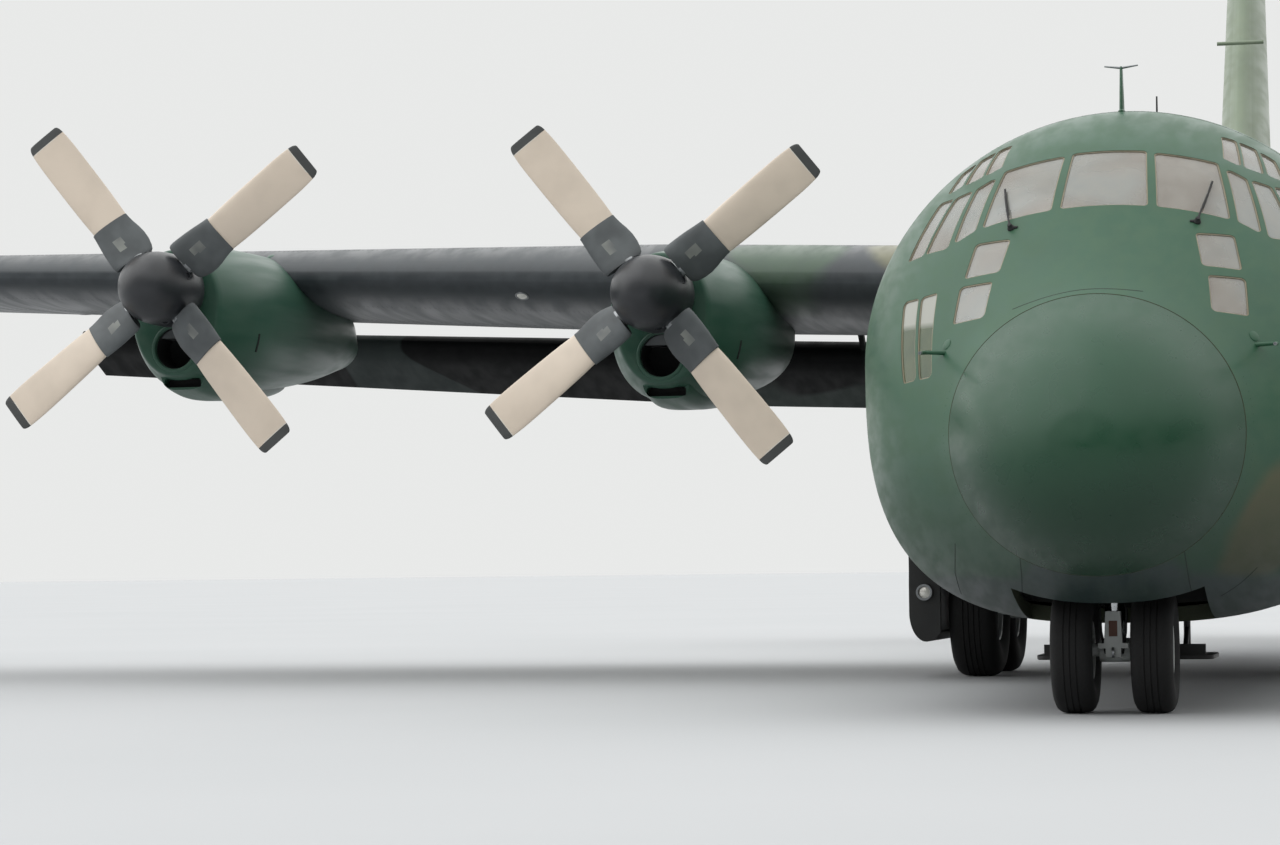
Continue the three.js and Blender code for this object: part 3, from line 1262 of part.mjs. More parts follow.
const floorSlab = box([-cargoFloorHalfWidth, cargoFloorHalfWidth], [noseEnd + 20, cargoEnd - 20], [600, cargoFloorTop]);
addNode("cargo_floor", floorSlab.intersect(insideHull(noseEnd - 100, cargoEnd + 40)), cabinGrey);
const crewDoorLeaf = wallPiece(crewDoor.front - 200, crewDoor.back + 200, shellWall, sideDoorBox(crewDoor, 0, 1));
addNode("crew_door", mainBody(crewDoorLeaf.add(union(crewHinges.map(({ eye }) => eye)))), skinGreen);
for (const [name, side] of [["left", 1], ["right", -1]]) {
  const piece = wallPiece(paraDoor.front - 200, paraDoor.back + 200, tailWall, sideDoorBox(paraDoor, -seatGap, side));
  addNode(`para_door_${name}`, mainBody(piece), skinGreen);
}
addNode("ramp", ramp(), bellyGrey);
addNode("cargo_door", cargoDoor(), bellyGrey);

const slots = trackSlots();
const centreHalf = wingLoft([0, wingJoint], coveStart, true).subtract(slots);
addNode("wing_centre", centreHalf.add(mirror(centreHalf)), darkGrey);
const leftWing = mainBody(outerWing().subtract(slots));
addNode("wing_left", leftWing, darkGrey);
addNode("wing_right", mirror(leftWing), darkGrey);

const leftAileron = aileron();
addNode("aileron_left", leftAileron, darkGrey);
addNode("aileron_right", mirror(leftAileron), darkGrey);
for (const track of flapTracks) {
  const solid = flap(track);
  addNode(`flap_${track.name}_left`, solid, darkGrey);
  addNode(`flap_${track.name}_right`, mirror(solid), darkGrey);
}

const wingForNacelles = union(
  wingLoft([0, wingJoint + 1], coveStart, true, seatGap),
  outerWingBlank(seatGap),
);
const bothWingsForNacelles = wingForNacelles.add(mirror(wingForNacelles));
for (const row of engineTable) {
  addNode(`nacelle_${row[0]}`, mainBody(nacelle(row).subtract(bothWingsForNacelles)), skinGreen);
  addNode(`engine_${row[0]}`, engine(row), engineMetal);
  addNode(`propeller_${row[0]}`, propeller(row), bladeBeige);
}

addNode("tailplane", tailplane().subtract(tailplaneHollow()), darkGrey);
addNode("fin", mainBody(fin()), skinGreen);
addNode("rudder", rudder(), skinGreen);
const leftElevator = elevator();
addNode("elevator_left", leftElevator, darkGrey);
addNode("elevator_right", mirror(leftElevator), darkGrey);

for (const [name, side] of [["left", 1], ["right", -1]]) {
  const place = (solid) => (side > 0 ? solid : mirror(solid));
  addNode(`sponson_${name}`, place(sponson()), skinGreen);
  addNode(`main_gear_door_${name}`, place(mainGearDoor()), darkGrey);
  addNode(`main_leg_${name}`, place(mainLeg()), gearWhite);
  mainWheelStations.forEach((y, index) => {
    const position = index === 0 ? "front" : "rear";
    const hub = wheelHub(
      mainWheelSide, y, mainTyreRadius, mainRimRadius, mainTyreHalfWidth, mainAxleRadius + axleGap, 0.35,
    );
    addNode(`main_hub_${position}_${name}`, place(hub), gearWhite);
    const tread = tyre(mainWheelSide, y, mainTyreRadius, mainRimRadius, mainTyreHalfWidth);
    addNode(`main_tyre_${position}_${name}`, place(tread), blackRubber);
  });
}

addNode("nose_leg", noseLeg(), gearWhite);
addNode("nose_fork", noseFork(), gearWhite);
addNode("nose_wheels", noseWheelSet(), gearWhite);
for (const [name, side] of [["left", 1], ["right", -1]]) {
  const tread = tyre(side * noseWheelSide, noseWheelStation, noseTyreRadius, noseRimRadius, noseTyreHalfWidth);
  addNode(`nose_tyre_${name}`, tread, blackRubber);
}
addNode("nose_gear_door", noseGearDoor(), bellyGrey);

aircraft.scale.setScalar(modelScale);
aircraft.position.y = (-overallLength / 2) * modelScale;
aircraft.updateMatrixWorld(true);

export default aircraft;
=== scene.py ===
# Four-turboprop military transport plane, half size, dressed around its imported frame
import math

import bmesh
import bpy
import numpy as np
from mathutils import Matrix, Vector


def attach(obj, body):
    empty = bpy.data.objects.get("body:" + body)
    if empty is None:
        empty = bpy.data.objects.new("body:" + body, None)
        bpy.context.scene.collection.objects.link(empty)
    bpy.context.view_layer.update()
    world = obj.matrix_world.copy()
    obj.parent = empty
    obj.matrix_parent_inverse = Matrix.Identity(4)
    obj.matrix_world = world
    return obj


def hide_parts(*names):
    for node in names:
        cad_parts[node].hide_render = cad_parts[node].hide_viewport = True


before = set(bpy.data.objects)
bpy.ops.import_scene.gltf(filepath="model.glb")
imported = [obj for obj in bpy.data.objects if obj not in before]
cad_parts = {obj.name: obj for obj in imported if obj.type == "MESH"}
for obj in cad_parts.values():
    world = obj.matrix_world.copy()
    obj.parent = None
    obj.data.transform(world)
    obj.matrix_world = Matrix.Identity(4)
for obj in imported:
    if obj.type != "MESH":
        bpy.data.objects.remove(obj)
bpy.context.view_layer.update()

# Lengths below are millimetres of the full-size aircraft: x to the left wing, y aft of the nose tip, z up
modelScale = 0.5
mm = 0.001 * modelScale
overallLength = 29790
halfSpan = 20205
noseTip = -overallLength / 2 * mm
sides = (("left", 1), ("right", -1))


# Colours and nodes

def colour(code):
    # sRGB hex to the linear values that shaders take
    parts = [int(code[i:i + 2], 16) / 255 for i in (0, 2, 4)]
    return tuple(c / 12.92 if c <= 0.04045 else ((c + 0.055) / 1.055) ** 2.4 for c in parts) + (1.0,)


def addNode(tree, kind, inputs=None, **settings):
    # a node with its settings, its fixed values and the links into it
    made = tree.nodes.new(kind)
    for key, value in settings.items():
        setattr(made, key, value)
    for key, value in (inputs or {}).items():
        if isinstance(value, bpy.types.NodeSocket):
            tree.links.new(value, made.inputs[key])
        else:
            made.inputs[key].default_value = value
    return made


def newMaterial(name):
    # an empty material, its tree and the object coordinates that its patterns follow
    material = bpy.data.materials.new(name)
    material.use_nodes = True
    tree = material.node_tree
    tree.nodes.clear()
    return material, tree, addNode(tree, "ShaderNodeTexCoord").outputs["Object"]


def addSurface(tree, inputs):
    shader = addNode(tree, "ShaderNodeBsdfPrincipled", inputs)
    addNode(tree, "ShaderNodeOutputMaterial", {"Surface": shader.outputs["BSDF"]})


# Sockets of a colour Mix node, which shares its names between data types
mixFactor, mixA, mixB, mixResult = 0, 6, 7, 2


def blendColours(tree, factor, first, second):
    mix = addNode(tree, "ShaderNodeMix", {mixFactor: factor, mixA: first, mixB: second}, data_type="RGBA")
    return mix.outputs[mixResult]


def noise(tree, vector, scale, detail=2.0, distortion=0.0):
    return addNode(tree, "ShaderNodeTexNoise", {
        "Vector": vector, "Scale": scale, "Detail": detail, "Distortion": distortion}).outputs["Fac"]


def mapRange(tree, value, low=0.0, high=1.0, start=0.0, end=1.0, smooth=False):
    return addNode(tree, "ShaderNodeMapRange", {
        "Value": value, "From Min": low, "From Max": high, "To Min": start, "To Max": end},
        interpolation_type="SMOOTHSTEP" if smooth else "LINEAR").outputs["Result"]


def bumpNormal(tree, height, strength, depth=0.001):
    return addNode(tree, "ShaderNodeBump", {
        "Height": height, "Strength": strength, "Distance": depth}).outputs["Normal"]


# Camouflage paint: matt polyurethane sprayed over aluminium skin, in soft-edged patches,
# rubbed and streaked by rain
patchEdge = 0.012        # softness of a patch's edge, in noise values
spotEdge, spotWave = 90, 260
bandEdge, bandSlant = 25, 0.75
bellyEdge, bellyWave = 50, 240


def camouflage(name, spec):
    material, tree, place = newMaterial(name)
    axes = addNode(tree, "ShaderNodeSeparateXYZ", {"Vector": place}).outputs

    def ramp(value, low, high):
        return mapRange(tree, value, low, high, smooth=True)

    def calculate(operation, first, second):
        return addNode(tree, "ShaderNodeMath", {0: first, 1: second}, operation=operation).outputs["Value"]

    def coat(mask, under, over):
        return blendColours(tree, mask, under, colour(over))

    skin = colour(spec["base"])
    for index, (patch, share) in enumerate(spec.get("patches", ())):
        shifted = addNode(tree, "ShaderNodeMapping", {
            "Vector": place, "Location": (3.1 * index + spec.get("seed", 0), 7.7 * index, 1.9 * index)})
        field = noise(tree, shifted.outputs["Vector"], spec.get("patchScale", 0.55), 1.6, 0.5)
        mask = ramp(field, share - patchEdge, share + patchEdge)
        if "patchFrom" in spec:                      # patches start aft of the nose
            begin = spec["patchFrom"] * mm + noseTip
            mask = calculate("MULTIPLY", mask, ramp(axes["Y"], begin, begin + 900 * mm))
        skin = coat(mask, skin, patch)
    for centre, radius, patch in spec.get("spots", ()):
        x, y, z = [value * mm for value in centre]
        away = addNode(tree, "ShaderNodeVectorMath", {0: place, 1: (x, y + noseTip, z)}, operation="DISTANCE")
        wave = calculate("MULTIPLY", noise(tree, place, 3.2), spotWave * mm)
        wavy = calculate("ADD", away.outputs["Value"], wave)
        middle = radius + spotWave / 2
        skin = coat(ramp(wavy, (middle + spotEdge) * mm, (middle - spotEdge) * mm), skin, patch)
    for left, right, station, patch in spec.get("bands", ()):
        # a straight edge along the airflow on the left and a slanted one on the right
        slanted = calculate("ADD", axes["X"], calculate("MULTIPLY", axes["Y"], -bandSlant))
        start = (right - bandSlant * station) * mm - bandSlant * noseTip
        mask = calculate("MULTIPLY", ramp(axes["X"], (left - bandEdge) * mm, (left + bandEdge) * mm),
                         ramp(slanted, start + bandEdge * mm, start - bandEdge * mm))
        skin = coat(mask, skin, patch)
    if "belly" in spec:                              # blue-grey underside with a wavy, sprayed edge
        bellyTop, bellyPaint = spec["belly"]
        wavy = calculate("ADD", axes["Z"], calculate("MULTIPLY", noise(tree, place, 1.3), -bellyWave * mm))
        middle = bellyTop - bellyWave / 2
        skin = coat(ramp(wavy, (middle + bellyEdge) * mm, (middle - bellyEdge) * mm), skin, bellyPaint)

    # streaks run with the airflow, mottling is the sprayer's passes
    along = addNode(tree, "ShaderNodeMapping", {"Vector": place, "Scale": (9.0, 0.7, 9.0)}).outputs["Vector"]
    streaks = ramp(noise(tree, along, 1.6), 0.3, 0.75)
    skin = coat(calculate("MULTIPLY", streaks, spec.get("streak", 0.16)), skin, spec["dust"])
    if "paintedShadeBelow" in spec:                              # painted shade: the paint darkens down the sides towards the bottom, where less light falls
        high, low = [z * mm for z in spec["paintedShadeBelow"]]
        skin = coat(calculate("MULTIPLY", ramp(axes["Z"], high, low), 0.6), skin, spec["shade"])
    mottle = ramp(noise(tree, place, 5.0, 3.0), 0.35, 0.7)
    skin = coat(calculate("MULTIPLY", mottle, 0.10), skin, spec["shade"])
    peel = noise(tree, place, 240.0)                 # orange peel, drawn at 4 mm so that it shows
    matt = spec.get("rough", 0.5)
    rough = mapRange(tree, streaks, start=matt - 0.06, end=matt + 0.10)
    addSurface(tree, {"Base Color": skin, "Roughness": rough, "Specular IOR Level": spec.get("shine", 0.42),
                      "Normal": bumpNormal(tree, peel, 0.04)})
    return material


nosePatches = [((1400, 1550, 1350), 600, "57553a"), ((2150, 3500, 1500), 800, "4b4c30"),
               ((20, 1250, 880), 640, "3a434b")]
wingPatches = [((-4100, 10300, 4450), 620, "3e5341"), ((-2750, 10350, 4480), 520, "6a6950")]
paints = {
    "hull": camouflage("camouflage_polyurethane_paint", {
        "base": "27503a", "patches": [("2c3536", 0.56), ("55573a", 0.62)],
        "patchFrom": 4300, "patchScale": 0.5,
        # the hull's paint turns darker towards the bottom as painted shade
        "spots": nosePatches, "belly": (1090, "3a434b"), "paintedShadeBelow": (2500, 900),
        "dust": "66765f", "shade": "1c2e23", "rough": 0.42, "shine": 0.32}),
    # radome: the hull's grey-green, its darker base and its darkening towards the bottom are painted shade
    "radome": camouflage("radome_paint_with_painted_shade", {
        "base": "1f4631", "paintedShadeBelow": (2500, 1250),
        "dust": "48674e", "shade": "14281d", "rough": 0.32, "streak": 0.05, "shine": 0.36}),
    "belly": camouflage("underside_blue_grey_paint", {
        "base": "46525d", "dust": "6e777d", "shade": "2c343c", "rough": 0.48}),
    "wing": camouflage("wing_camouflage_paint", {
        "base": "33383c", "patches": [("3a4a40", 0.63), ("565849", 0.7)], "patchScale": 0.4, "seed": 8.0,
        "spots": wingPatches, "dust": "63696b", "shade": "1e2327", "rough": 0.42}),
    # flaps: the near-black base is painted shade of the flaps' undersides beneath the wing, with lighter
    # patches and two slanted bands over it
    "flap": camouflage("flap_paint_in_painted_shade", {
        "base": "0c0d0e", "patches": [("39413e", 0.57)], "patchScale": 0.5, "seed": 9.0,
        "bands": [(-10350, -9500, 13800, "323938"), (8900, 10300, 13800, "323938")],
        "dust": "242727", "shade": "08090a", "rough": 0.62, "streak": 0.06, "shine": 0.15}),
    "nacelle": camouflage("nacelle_camouflage_paint", {
        "base": "2f5042", "dust": "5f7363", "shade": "1c3228", "rough": 0.4, "streak": 0.1, "shine": 0.3}),
    # fin: its pale base is painted light, the haze and sky light that pale the distant fin
    "fin": camouflage("fin_camouflage_paled_by_painted_haze", {
        "base": "76836f", "patches": [("3c4338", 0.55)], "patchScale": 0.42, "seed": 12.0,
        "dust": "8b907c", "shade": "30352c", "rough": 0.45}),
}


# Plain finishes: one colour with the variation, roughness and bump that the surface shows
def plainFinish(name, base, worn, matt, grainScale, stained=0.35, bump=0.1, depth=0.001, metal=0.0):
    material, tree, place = newMaterial(name)
    grain = noise(tree, place, grainScale, 4.0)
    stain = mapRange(tree, noise(tree, place, 7.0), 0.35, 0.75, end=stained, smooth=True)
    skin = blendColours(tree, stain, colour(base), colour(worn))
    rough = mapRange(tree, grain, start=matt - 0.06, end=matt + 0.08)
    addSurface(tree, {"Base Color": skin, "Roughness": rough, "Metallic": metal,
                      "Normal": bumpNormal(tree, grain, bump, depth)})
    return material


paints |= {
    # satin enamel over forged aluminium, sand-worn
    "blade": plainFinish("blade_beige_enamel", "d2c4b4", "bdb0a1", 0.42, 60),
    "tipLine": plainFinish("blade_tip_white_line", "d6d3cb", "b9b5ab", 0.45, 60),
    "bladeTip": plainFinish("blade_tip_charcoal_enamel", "3a3c3c", "4b4d4d", 0.45, 60),
    # grey rubber de-icing boot, dull with scuffs, with a paler patch on its front face
    "cuff": plainFinish("blade_cuff_neoprene_boot", "474b4d", "63686a", 0.62, 45, stained=0.6),
    "paleFront": plainFinish("cuff_pale_front_patch", "7d807b", "525557", 0.55, 120, stained=0.9),
    "spinner": plainFinish("spinner_charcoal_enamel", "1f2125", "35373b", 0.38, 50),
    # light grey gloss enamel on forged legs
    "gear": plainFinish("gear_grey_enamel", "b4b8b6", "7f827f", 0.4, 40, stained=0.5),
    "cabin": plainFinish("cabin_grey_green_lacquer", "5f6b62", "4a534d", 0.6, 80),
    # dull yellow-green primer inside the skins
    "lining": plainFinish("zinc_chromate_primer", "3f4532", "2e3326", 0.7, 80),
    "engineMetal": plainFinish("engine_cast_magnesium", "6d7072", "4c4f50", 0.45, 70, metal=0.7),
    "steel": plainFinish("ground_steel", "8f9294", "6a6d70", 0.32, 120, metal=0.95),
    "chrome": plainFinish("chromed_oleo_piston", "c9ccce", "a9adb0", 0.12, 60, metal=1.0),
    # blued and sooted stainless
    "exhaust": plainFinish("heat_stained_exhaust_steel", "4b423b", "2a2623", 0.5, 55, stained=0.8, metal=0.8),
    # black rubber, darkened beyond its own black as painted shade
    "tyre": plainFinish("aircraft_tyre_rubber", "070708", "121211", 0.82, 90, bump=0.3),
    "rubber": plainFinish("black_seal_rubber", "161718", "252626", 0.7, 90),
    # tan polysulphide fillet round the panes
    "sealant": plainFinish("window_edge_sealant", "857d69", "5c5a4c", 0.6, 90),
    # black paint on the yokes, levers and dial rims; the same black in the engine openings is painted shade
    "dark": plainFinish("black_paint_and_painted_duct_shade", "0c0d0e", "141414", 0.8, 60),
    # near black all over the main and nose gear doors
    "doorDark": plainFinish("gear_door_near_black", "151616", "2a2b2a", 0.45, 60),
    # dark sealant in the skin's butt joints
    "seam": plainFinish("panel_joint_sealant", "16201b", "25302a", 0.7, 90),
    # olive woven nylon covers over foam
    "seatCloth": plainFinish("seat_woven_nylon", "4c5140", "5d6150", 0.85, 320, bump=0.35, depth=0.0008),
    "dialFace": plainFinish("instrument_dial_face", "17191a", "222527", 0.2, 60),
    # near black inside the nose wheel well, darker than the primer inside the skins
    "wheelBay": plainFinish("wheel_bay_near_black", "1b1f1b", "121412", 0.7, 60),
    "rust": plainFinish("red_brown_gear_primer", "5e3b2c", "432a20", 0.6, 60),
}


# Laminated windscreen glass: a gold heating film tints it, and its pale colour is a painted reflection of the
# sky, warm or cool from pane to pane
def windowGlass():
    material, tree, place = newMaterial("heated_windscreen_glass")
    film, haze = noise(tree, place, 2.6, 1.5), noise(tree, place, 11.0, 3.0)
    tint = blendColours(tree, mapRange(tree, film, 0.42, 0.6), colour("766b60"), colour("8a918f"))
    tint = blendColours(tree, haze, tint, colour("9e9b92"))
    rough = mapRange(tree, haze, start=0.03, end=0.16)
    addSurface(tree, {"Base Color": tint, "Roughness": rough, "IOR": 1.52,
                      "Specular IOR Level": 0.9, "Alpha": 0.62})
    return material


# Lamp glass: clear borosilicate lens over a polished reflector
def lampGlass():
    material, tree, place = newMaterial("lamp_lens_glass")
    ribs = bumpNormal(tree, noise(tree, place, 60.0, 1.0), 0.3)
    addSurface(tree, {"Base Color": colour("e8e6df"), "Roughness": 0.12, "Metallic": 0.35,
                      "Specular IOR Level": 0.7, "Normal": ribs})
    return material


# Clear sliding panes: bare toughened glass whose colour paints the shaded, dark cabin behind it, with a
# painted pale sky in its upper part
def clearGlass():
    material, tree, place = newMaterial("clear_toughened_glass")
    height = addNode(tree, "ShaderNodeSeparateXYZ", {"Vector": place}).outputs["Z"]
    sky = mapRange(tree, height, 3020 * mm, 3075 * mm)
    paintedCabinShade = blendColours(tree, noise(tree, place, 9.0), colour("3c5044"), colour("6e7359"))
    tint = blendColours(tree, sky, paintedCabinShade, colour("a9aaa2"))
    addSurface(tree, {"Base Color": tint, "Roughness": 0.05, "IOR": 1.52,
                      "Specular IOR Level": 0.3, "Alpha": 0.8})
    return material


paints |= {"glass": windowGlass(), "clearGlass": clearGlass(), "lamp": lampGlass()}
print("materials made:", len(paints))


# Mesh tools

def newObject(name, mesh):
    made = bpy.data.objects.new(name, mesh)
    bpy.context.scene.collection.objects.link(made)
    return made


def discard(obj):
    mesh = obj.data
    bpy.data.objects.remove(obj)
    bpy.data.meshes.remove(mesh)


def turns(count):
    # evenly spaced angles round a circle
    return [2 * math.pi * k / count for k in range(count)]


def arc(start, sweep, steps):
    # angles in degrees from a start over a sweep, both ends included
    return [math.radians(start + sweep * k / steps) for k in range(steps + 1)]


def solid(name, points, faces):
    # a closed mesh from full-size points, turned so that its faces point outwards
    mesh = bpy.data.meshes.new(name)
    mesh.from_pydata((np.asarray(points, float) * mm + (0, noseTip, 0)).tolist(), [], faces)
    work = bmesh.new()
    work.from_mesh(mesh)
    if work.calc_volume(signed=True) < 0:
        bmesh.ops.reverse_faces(work, faces=work.faces)
    work.to_mesh(mesh)
    work.free()
    return newObject(name, mesh)


def ringFaces(rows, around, closed=False):
    # quads from ring to ring, and a cap at each end unless the last ring meets the first
    faces = []
    for i in range(rows if closed else rows - 1):
        n = (i + 1) % rows
        for j in range(around):
            k = (j + 1) % around
            faces.append((i * around + j, i * around + k, n * around + k, n * around + j))
    if not closed:
        faces += [tuple(range(around))[::-1], tuple(range((rows - 1) * around, rows * around))]
    return faces


def loft(name, rings):
    rings = np.array(rings, float)
    return solid(name, rings.reshape(-1, 3), ringFaces(*rings.shape[:2]))


def block(name, x, y, z):
    (left, right), (low, high) = sorted(x), z
    ring = [(left, low), (right, low), (right, high), (left, high)]
    return loft(name, [[(px, station, pz) for px, pz in ring] for station in y])


def axisFrame(start, end):
    along = (Vector(end) - Vector(start)).normalized()
    side = along.orthogonal().normalized()
    return along, side, along.cross(side)


def bar(name, start, end, radius, endRadius=None, around=24):
    _, side, up = axisFrame(start, end)
    rings = []
    for centre, size in ((Vector(start), radius), (Vector(end), endRadius or radius)):
        rings.append([tuple(centre + side * size * math.cos(a) + up * size * math.sin(a))
                      for a in turns(around)])
    return loft(name, rings)


def turned(name, profile, centre, axis, around=48):
    # a profile of radius and distance along the axis, spun about it
    along, side, up = axisFrame((0, 0, 0), axis)
    closed = profile[0] == profile[-1]
    profile = profile[:-1] if closed else profile
    middle = Vector(centre)
    points = [tuple(middle + along * distance + (side * math.cos(a) + up * math.sin(a)) * max(radius, 0.01))
              for radius, distance in profile for a in turns(around)]
    return solid(name, points, ringFaces(len(profile), around, closed))


def pipe(name, path, radius, around=12):
    # a round tube along points, with its section carried along without twisting
    path = [Vector(p) for p in path]
    rings = []
    side = (path[1] - path[0]).normalized().orthogonal().normalized()
    for i, point in enumerate(path):
        along = (path[min(i + 1, len(path) - 1)] - path[max(i - 1, 0)]).normalized()
        side = (side - along * side.dot(along)).normalized()
        up = along.cross(side)
        rings.append([tuple(point + (side * math.cos(a) + up * math.sin(a)) * radius) for a in turns(around)])
    return loft(name, rings)


def plainMesh(obj):
    # the evaluated result as the object's own mesh, without modifiers
    result = bpy.data.meshes.new_from_object(obj.evaluated_get(bpy.context.evaluated_depsgraph_get()))
    old = obj.data
    obj.modifiers.clear()
    obj.data = result
    bpy.data.meshes.remove(old)
    return obj


def combine(obj, other, how, keep=False):
    modifier = obj.modifiers.new("combine", "BOOLEAN")
    modifier.solver = "MANIFOLD"
    modifier.operation = how
    modifier.object = other
    plainMesh(obj)
    if not keep:
        discard(other)
    return obj


def cut(obj, *others):
    for other in others:
        combine(obj, other, "DIFFERENCE")
    return obj


def meet(obj, other, keep=False):
    return combine(obj, other, "INTERSECT", keep)


def fuse(obj, *others):
    for other in others:
        combine(obj, other, "UNION")
    return obj


def copyOf(obj, name):
    return newObject(name, obj.data.copy())


def mirrored(obj, name):
    twin = copyOf(obj, name)
    twin.data.transform(Matrix.Scale(-1, 4, (1, 0, 0)))
    twin.data.flip_normals()
    return twin


def joined(name, parts):
    # several meshes as one object, each keeping its materials
    parts[0].name = name
    parts[0].data.name = name
    if len(parts) > 1:
        with bpy.context.temp_override(active_object=parts[0], selected_editable_objects=parts):
            bpy.ops.object.join()
    return parts[0]


def finish(obj, paint, sharp=35):
    # one paint all over, smooth faces, and creases that are sharper than the angle
    obj.data.materials.clear()
    obj.data.materials.append(paints[paint])
    obj.data.polygons.foreach_set("use_smooth", [True] * len(obj.data.polygons))
    obj.data.set_sharp_from_angle(angle=math.radians(sharp))
    return obj


def finishAll(paint, *pieces):
    return [finish(piece, paint) for piece in pieces]


def mount(obj, body, slotName, *nodes):
    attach(obj, body)
    if nodes:
        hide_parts(*nodes)


def mountPair(left, stem, paint, slotName, moves=False):
    # a left piece and its mirror image, each on the body of its own name if it moves
    for piece, node in ((left, f"{stem}_left"), (mirrored(left, f"{stem}_right"), f"{stem}_right")):
        mount(finish(piece, paint), node if moves else "airframe", slotName, node)


def splineTable(rows, startSlope, endSlope, samples=2400):
    # a clamped cubic spline through a table's rows, sampled finely along its own length
    rows = np.array(rows, float)
    step = np.linalg.norm(np.diff(rows[:, :4], axis=0), axis=1)
    count = len(rows)
    matrix, right = np.zeros((count, count)), np.zeros(rows.shape)
    matrix[0, 0] = matrix[-1, -1] = 1
    right[0], right[-1] = startSlope, endSlope
    for i in range(1, count - 1):
        a, b = step[i - 1], step[i]
        matrix[i, i - 1:i + 2] = b, 2 * (a + b), a
        right[i] = 3 * (b * (rows[i] - rows[i - 1]) / a + a * (rows[i + 1] - rows[i]) / b)
    slopes = np.linalg.solve(matrix, right)
    reach = np.concatenate([[0], np.cumsum(step)])
    u = np.linspace(0, reach[-1], samples)
    i = np.clip(np.searchsorted(reach, u, side="right") - 1, 0, count - 2)
    h = step[i][:, None]
    t = ((u - reach[i]) / step[i])[:, None]
    return ((1 + 2 * t) * (1 - t) ** 2 * rows[i] + t * (1 - t) ** 2 * h * slopes[i]
            + t * t * (3 - 2 * t) * rows[i + 1] + t * t * (t - 1) * h * slopes[i + 1])


def rowAt(table, station):
    return [float(np.interp(station, table[:, 0], table[:, k])) for k in range(table.shape[1])]


def ovalPoint(row, a, inset=0.0):
    # an ellipse above the widest point and a squarer curve below it, at an angle from the left side upwards
    station, halfWidth, top, bottom, widest, squareness = row
    c, s = math.cos(a), math.sin(a)
    power = 1 if s >= 0 else 2 / squareness
    x = math.copysign(abs(c) ** power, c) * (halfWidth - inset)
    z = (top - inset - widest) * s if s >= 0 else -(widest - bottom - inset) * abs(s) ** power
    return x, station, widest + z


def ovalRing(row, inset, around):
    return [ovalPoint(row, a, inset) for a in turns(around)]


# Fuselage outline: station, half width, top, bottom, height of the widest point, squareness below it
noseRows = [
    (0, 20, 2040, 2000, 2020, 2.0), (60, 320, 2340, 1700, 2020, 2.0), (250, 630, 2660, 1440, 2040, 2.0),
    (550, 890, 2940, 1240, 2080, 2.05), (950, 1110, 3200, 1080, 2160, 2.1),
    (1300, 1340, 3460, 960, 2260, 2.2), (1700, 1610, 3800, 850, 2420, 2.35),
    (2100, 1820, 4160, 770, 2580, 2.5), (2600, 1990, 4540, 710, 2730, 2.75),
    (3200, 2120, 4830, 690, 2820, 2.95), (4000, 2180, 4990, 690, 2850, 3.0),
    (5000, 2180, 5010, 690, 2850, 3.0),
]
tailRows = [
    (16400, 2180, 5010, 690, 2850, 3.0), (18000, 2140, 5010, 1000, 2950, 3.0),
    (20000, 2050, 5010, 1660, 3200, 2.9), (22000, 1800, 5000, 2420, 3600, 2.7),
    (24000, 1450, 4980, 3100, 4000, 2.5), (26000, 1050, 4940, 3720, 4300, 2.4),
    (28000, 600, 4880, 4180, 4520, 2.2), (29790, 100, 4660, 4540, 4600, 2.0),
]
straightOn = (1, 0, 0, 0, 0, 0)
hullTable = np.vstack([
    splineTable(noseRows, (0, 0.6, 0.57, -0.57, 0, 0), straightOn),
    splineTable(tailRows, straightOn, (0.93, -0.26, -0.12, 0.2, 0.04, 0)),
])
radomeEnd, noseEnd, cargoEnd = 950, 4170, 16360
shellWall, tailWall, radomeWall = 120, 60, 40
hullAround = 144
hullStations = np.concatenate([
    950 * (np.arange(1, 22) / 22) ** 2, np.arange(950, 5000, 95), np.arange(5000, 16400, 380),
    np.arange(16400, 29700, 170),
])


def hull(name, start, end, inset=0.0, around=hullAround):
    between = hullStations[(hullStations > start + 20) & (hullStations < end - 20)]
    return loft(name, [ovalRing(rowAt(hullTable, s), inset, around) for s in [start, *between, end]])


def hullShell(name, start, end, wall):
    return cut(hull(name, start, end), hull("core", start - 5, end + 5, wall, 96))


def skinPoint(station, turn):
    # a point of the skin, with the turn from the left side upwards in degrees, and its outward normal
    def at(s, degrees):
        return Vector(ovalPoint(rowAt(hullTable, s), math.radians(degrees)))

    point = at(station, turn)
    around = at(station, turn + 0.5) - at(station, turn - 0.5)
    aft = at(station + 10, turn) - at(station - 10, turn)
    normal = around.cross(aft).normalized()
    if normal.dot(point - Vector((0, station, 2800))) < 0:
        normal.negate()
    return point, normal


def skinAt(x, station, below=False):
    # the skin above or below its widest line, at a side distance and a station
    _, halfWidth, _, _, _, squareness = rowAt(hullTable, station)
    share = max(-1.0, min(1.0, x / halfWidth))
    if below:
        share = math.copysign(abs(share) ** (squareness / 2), share)
    turn = math.degrees(math.acos(share))
    return skinPoint(station, -turn if below else turn)


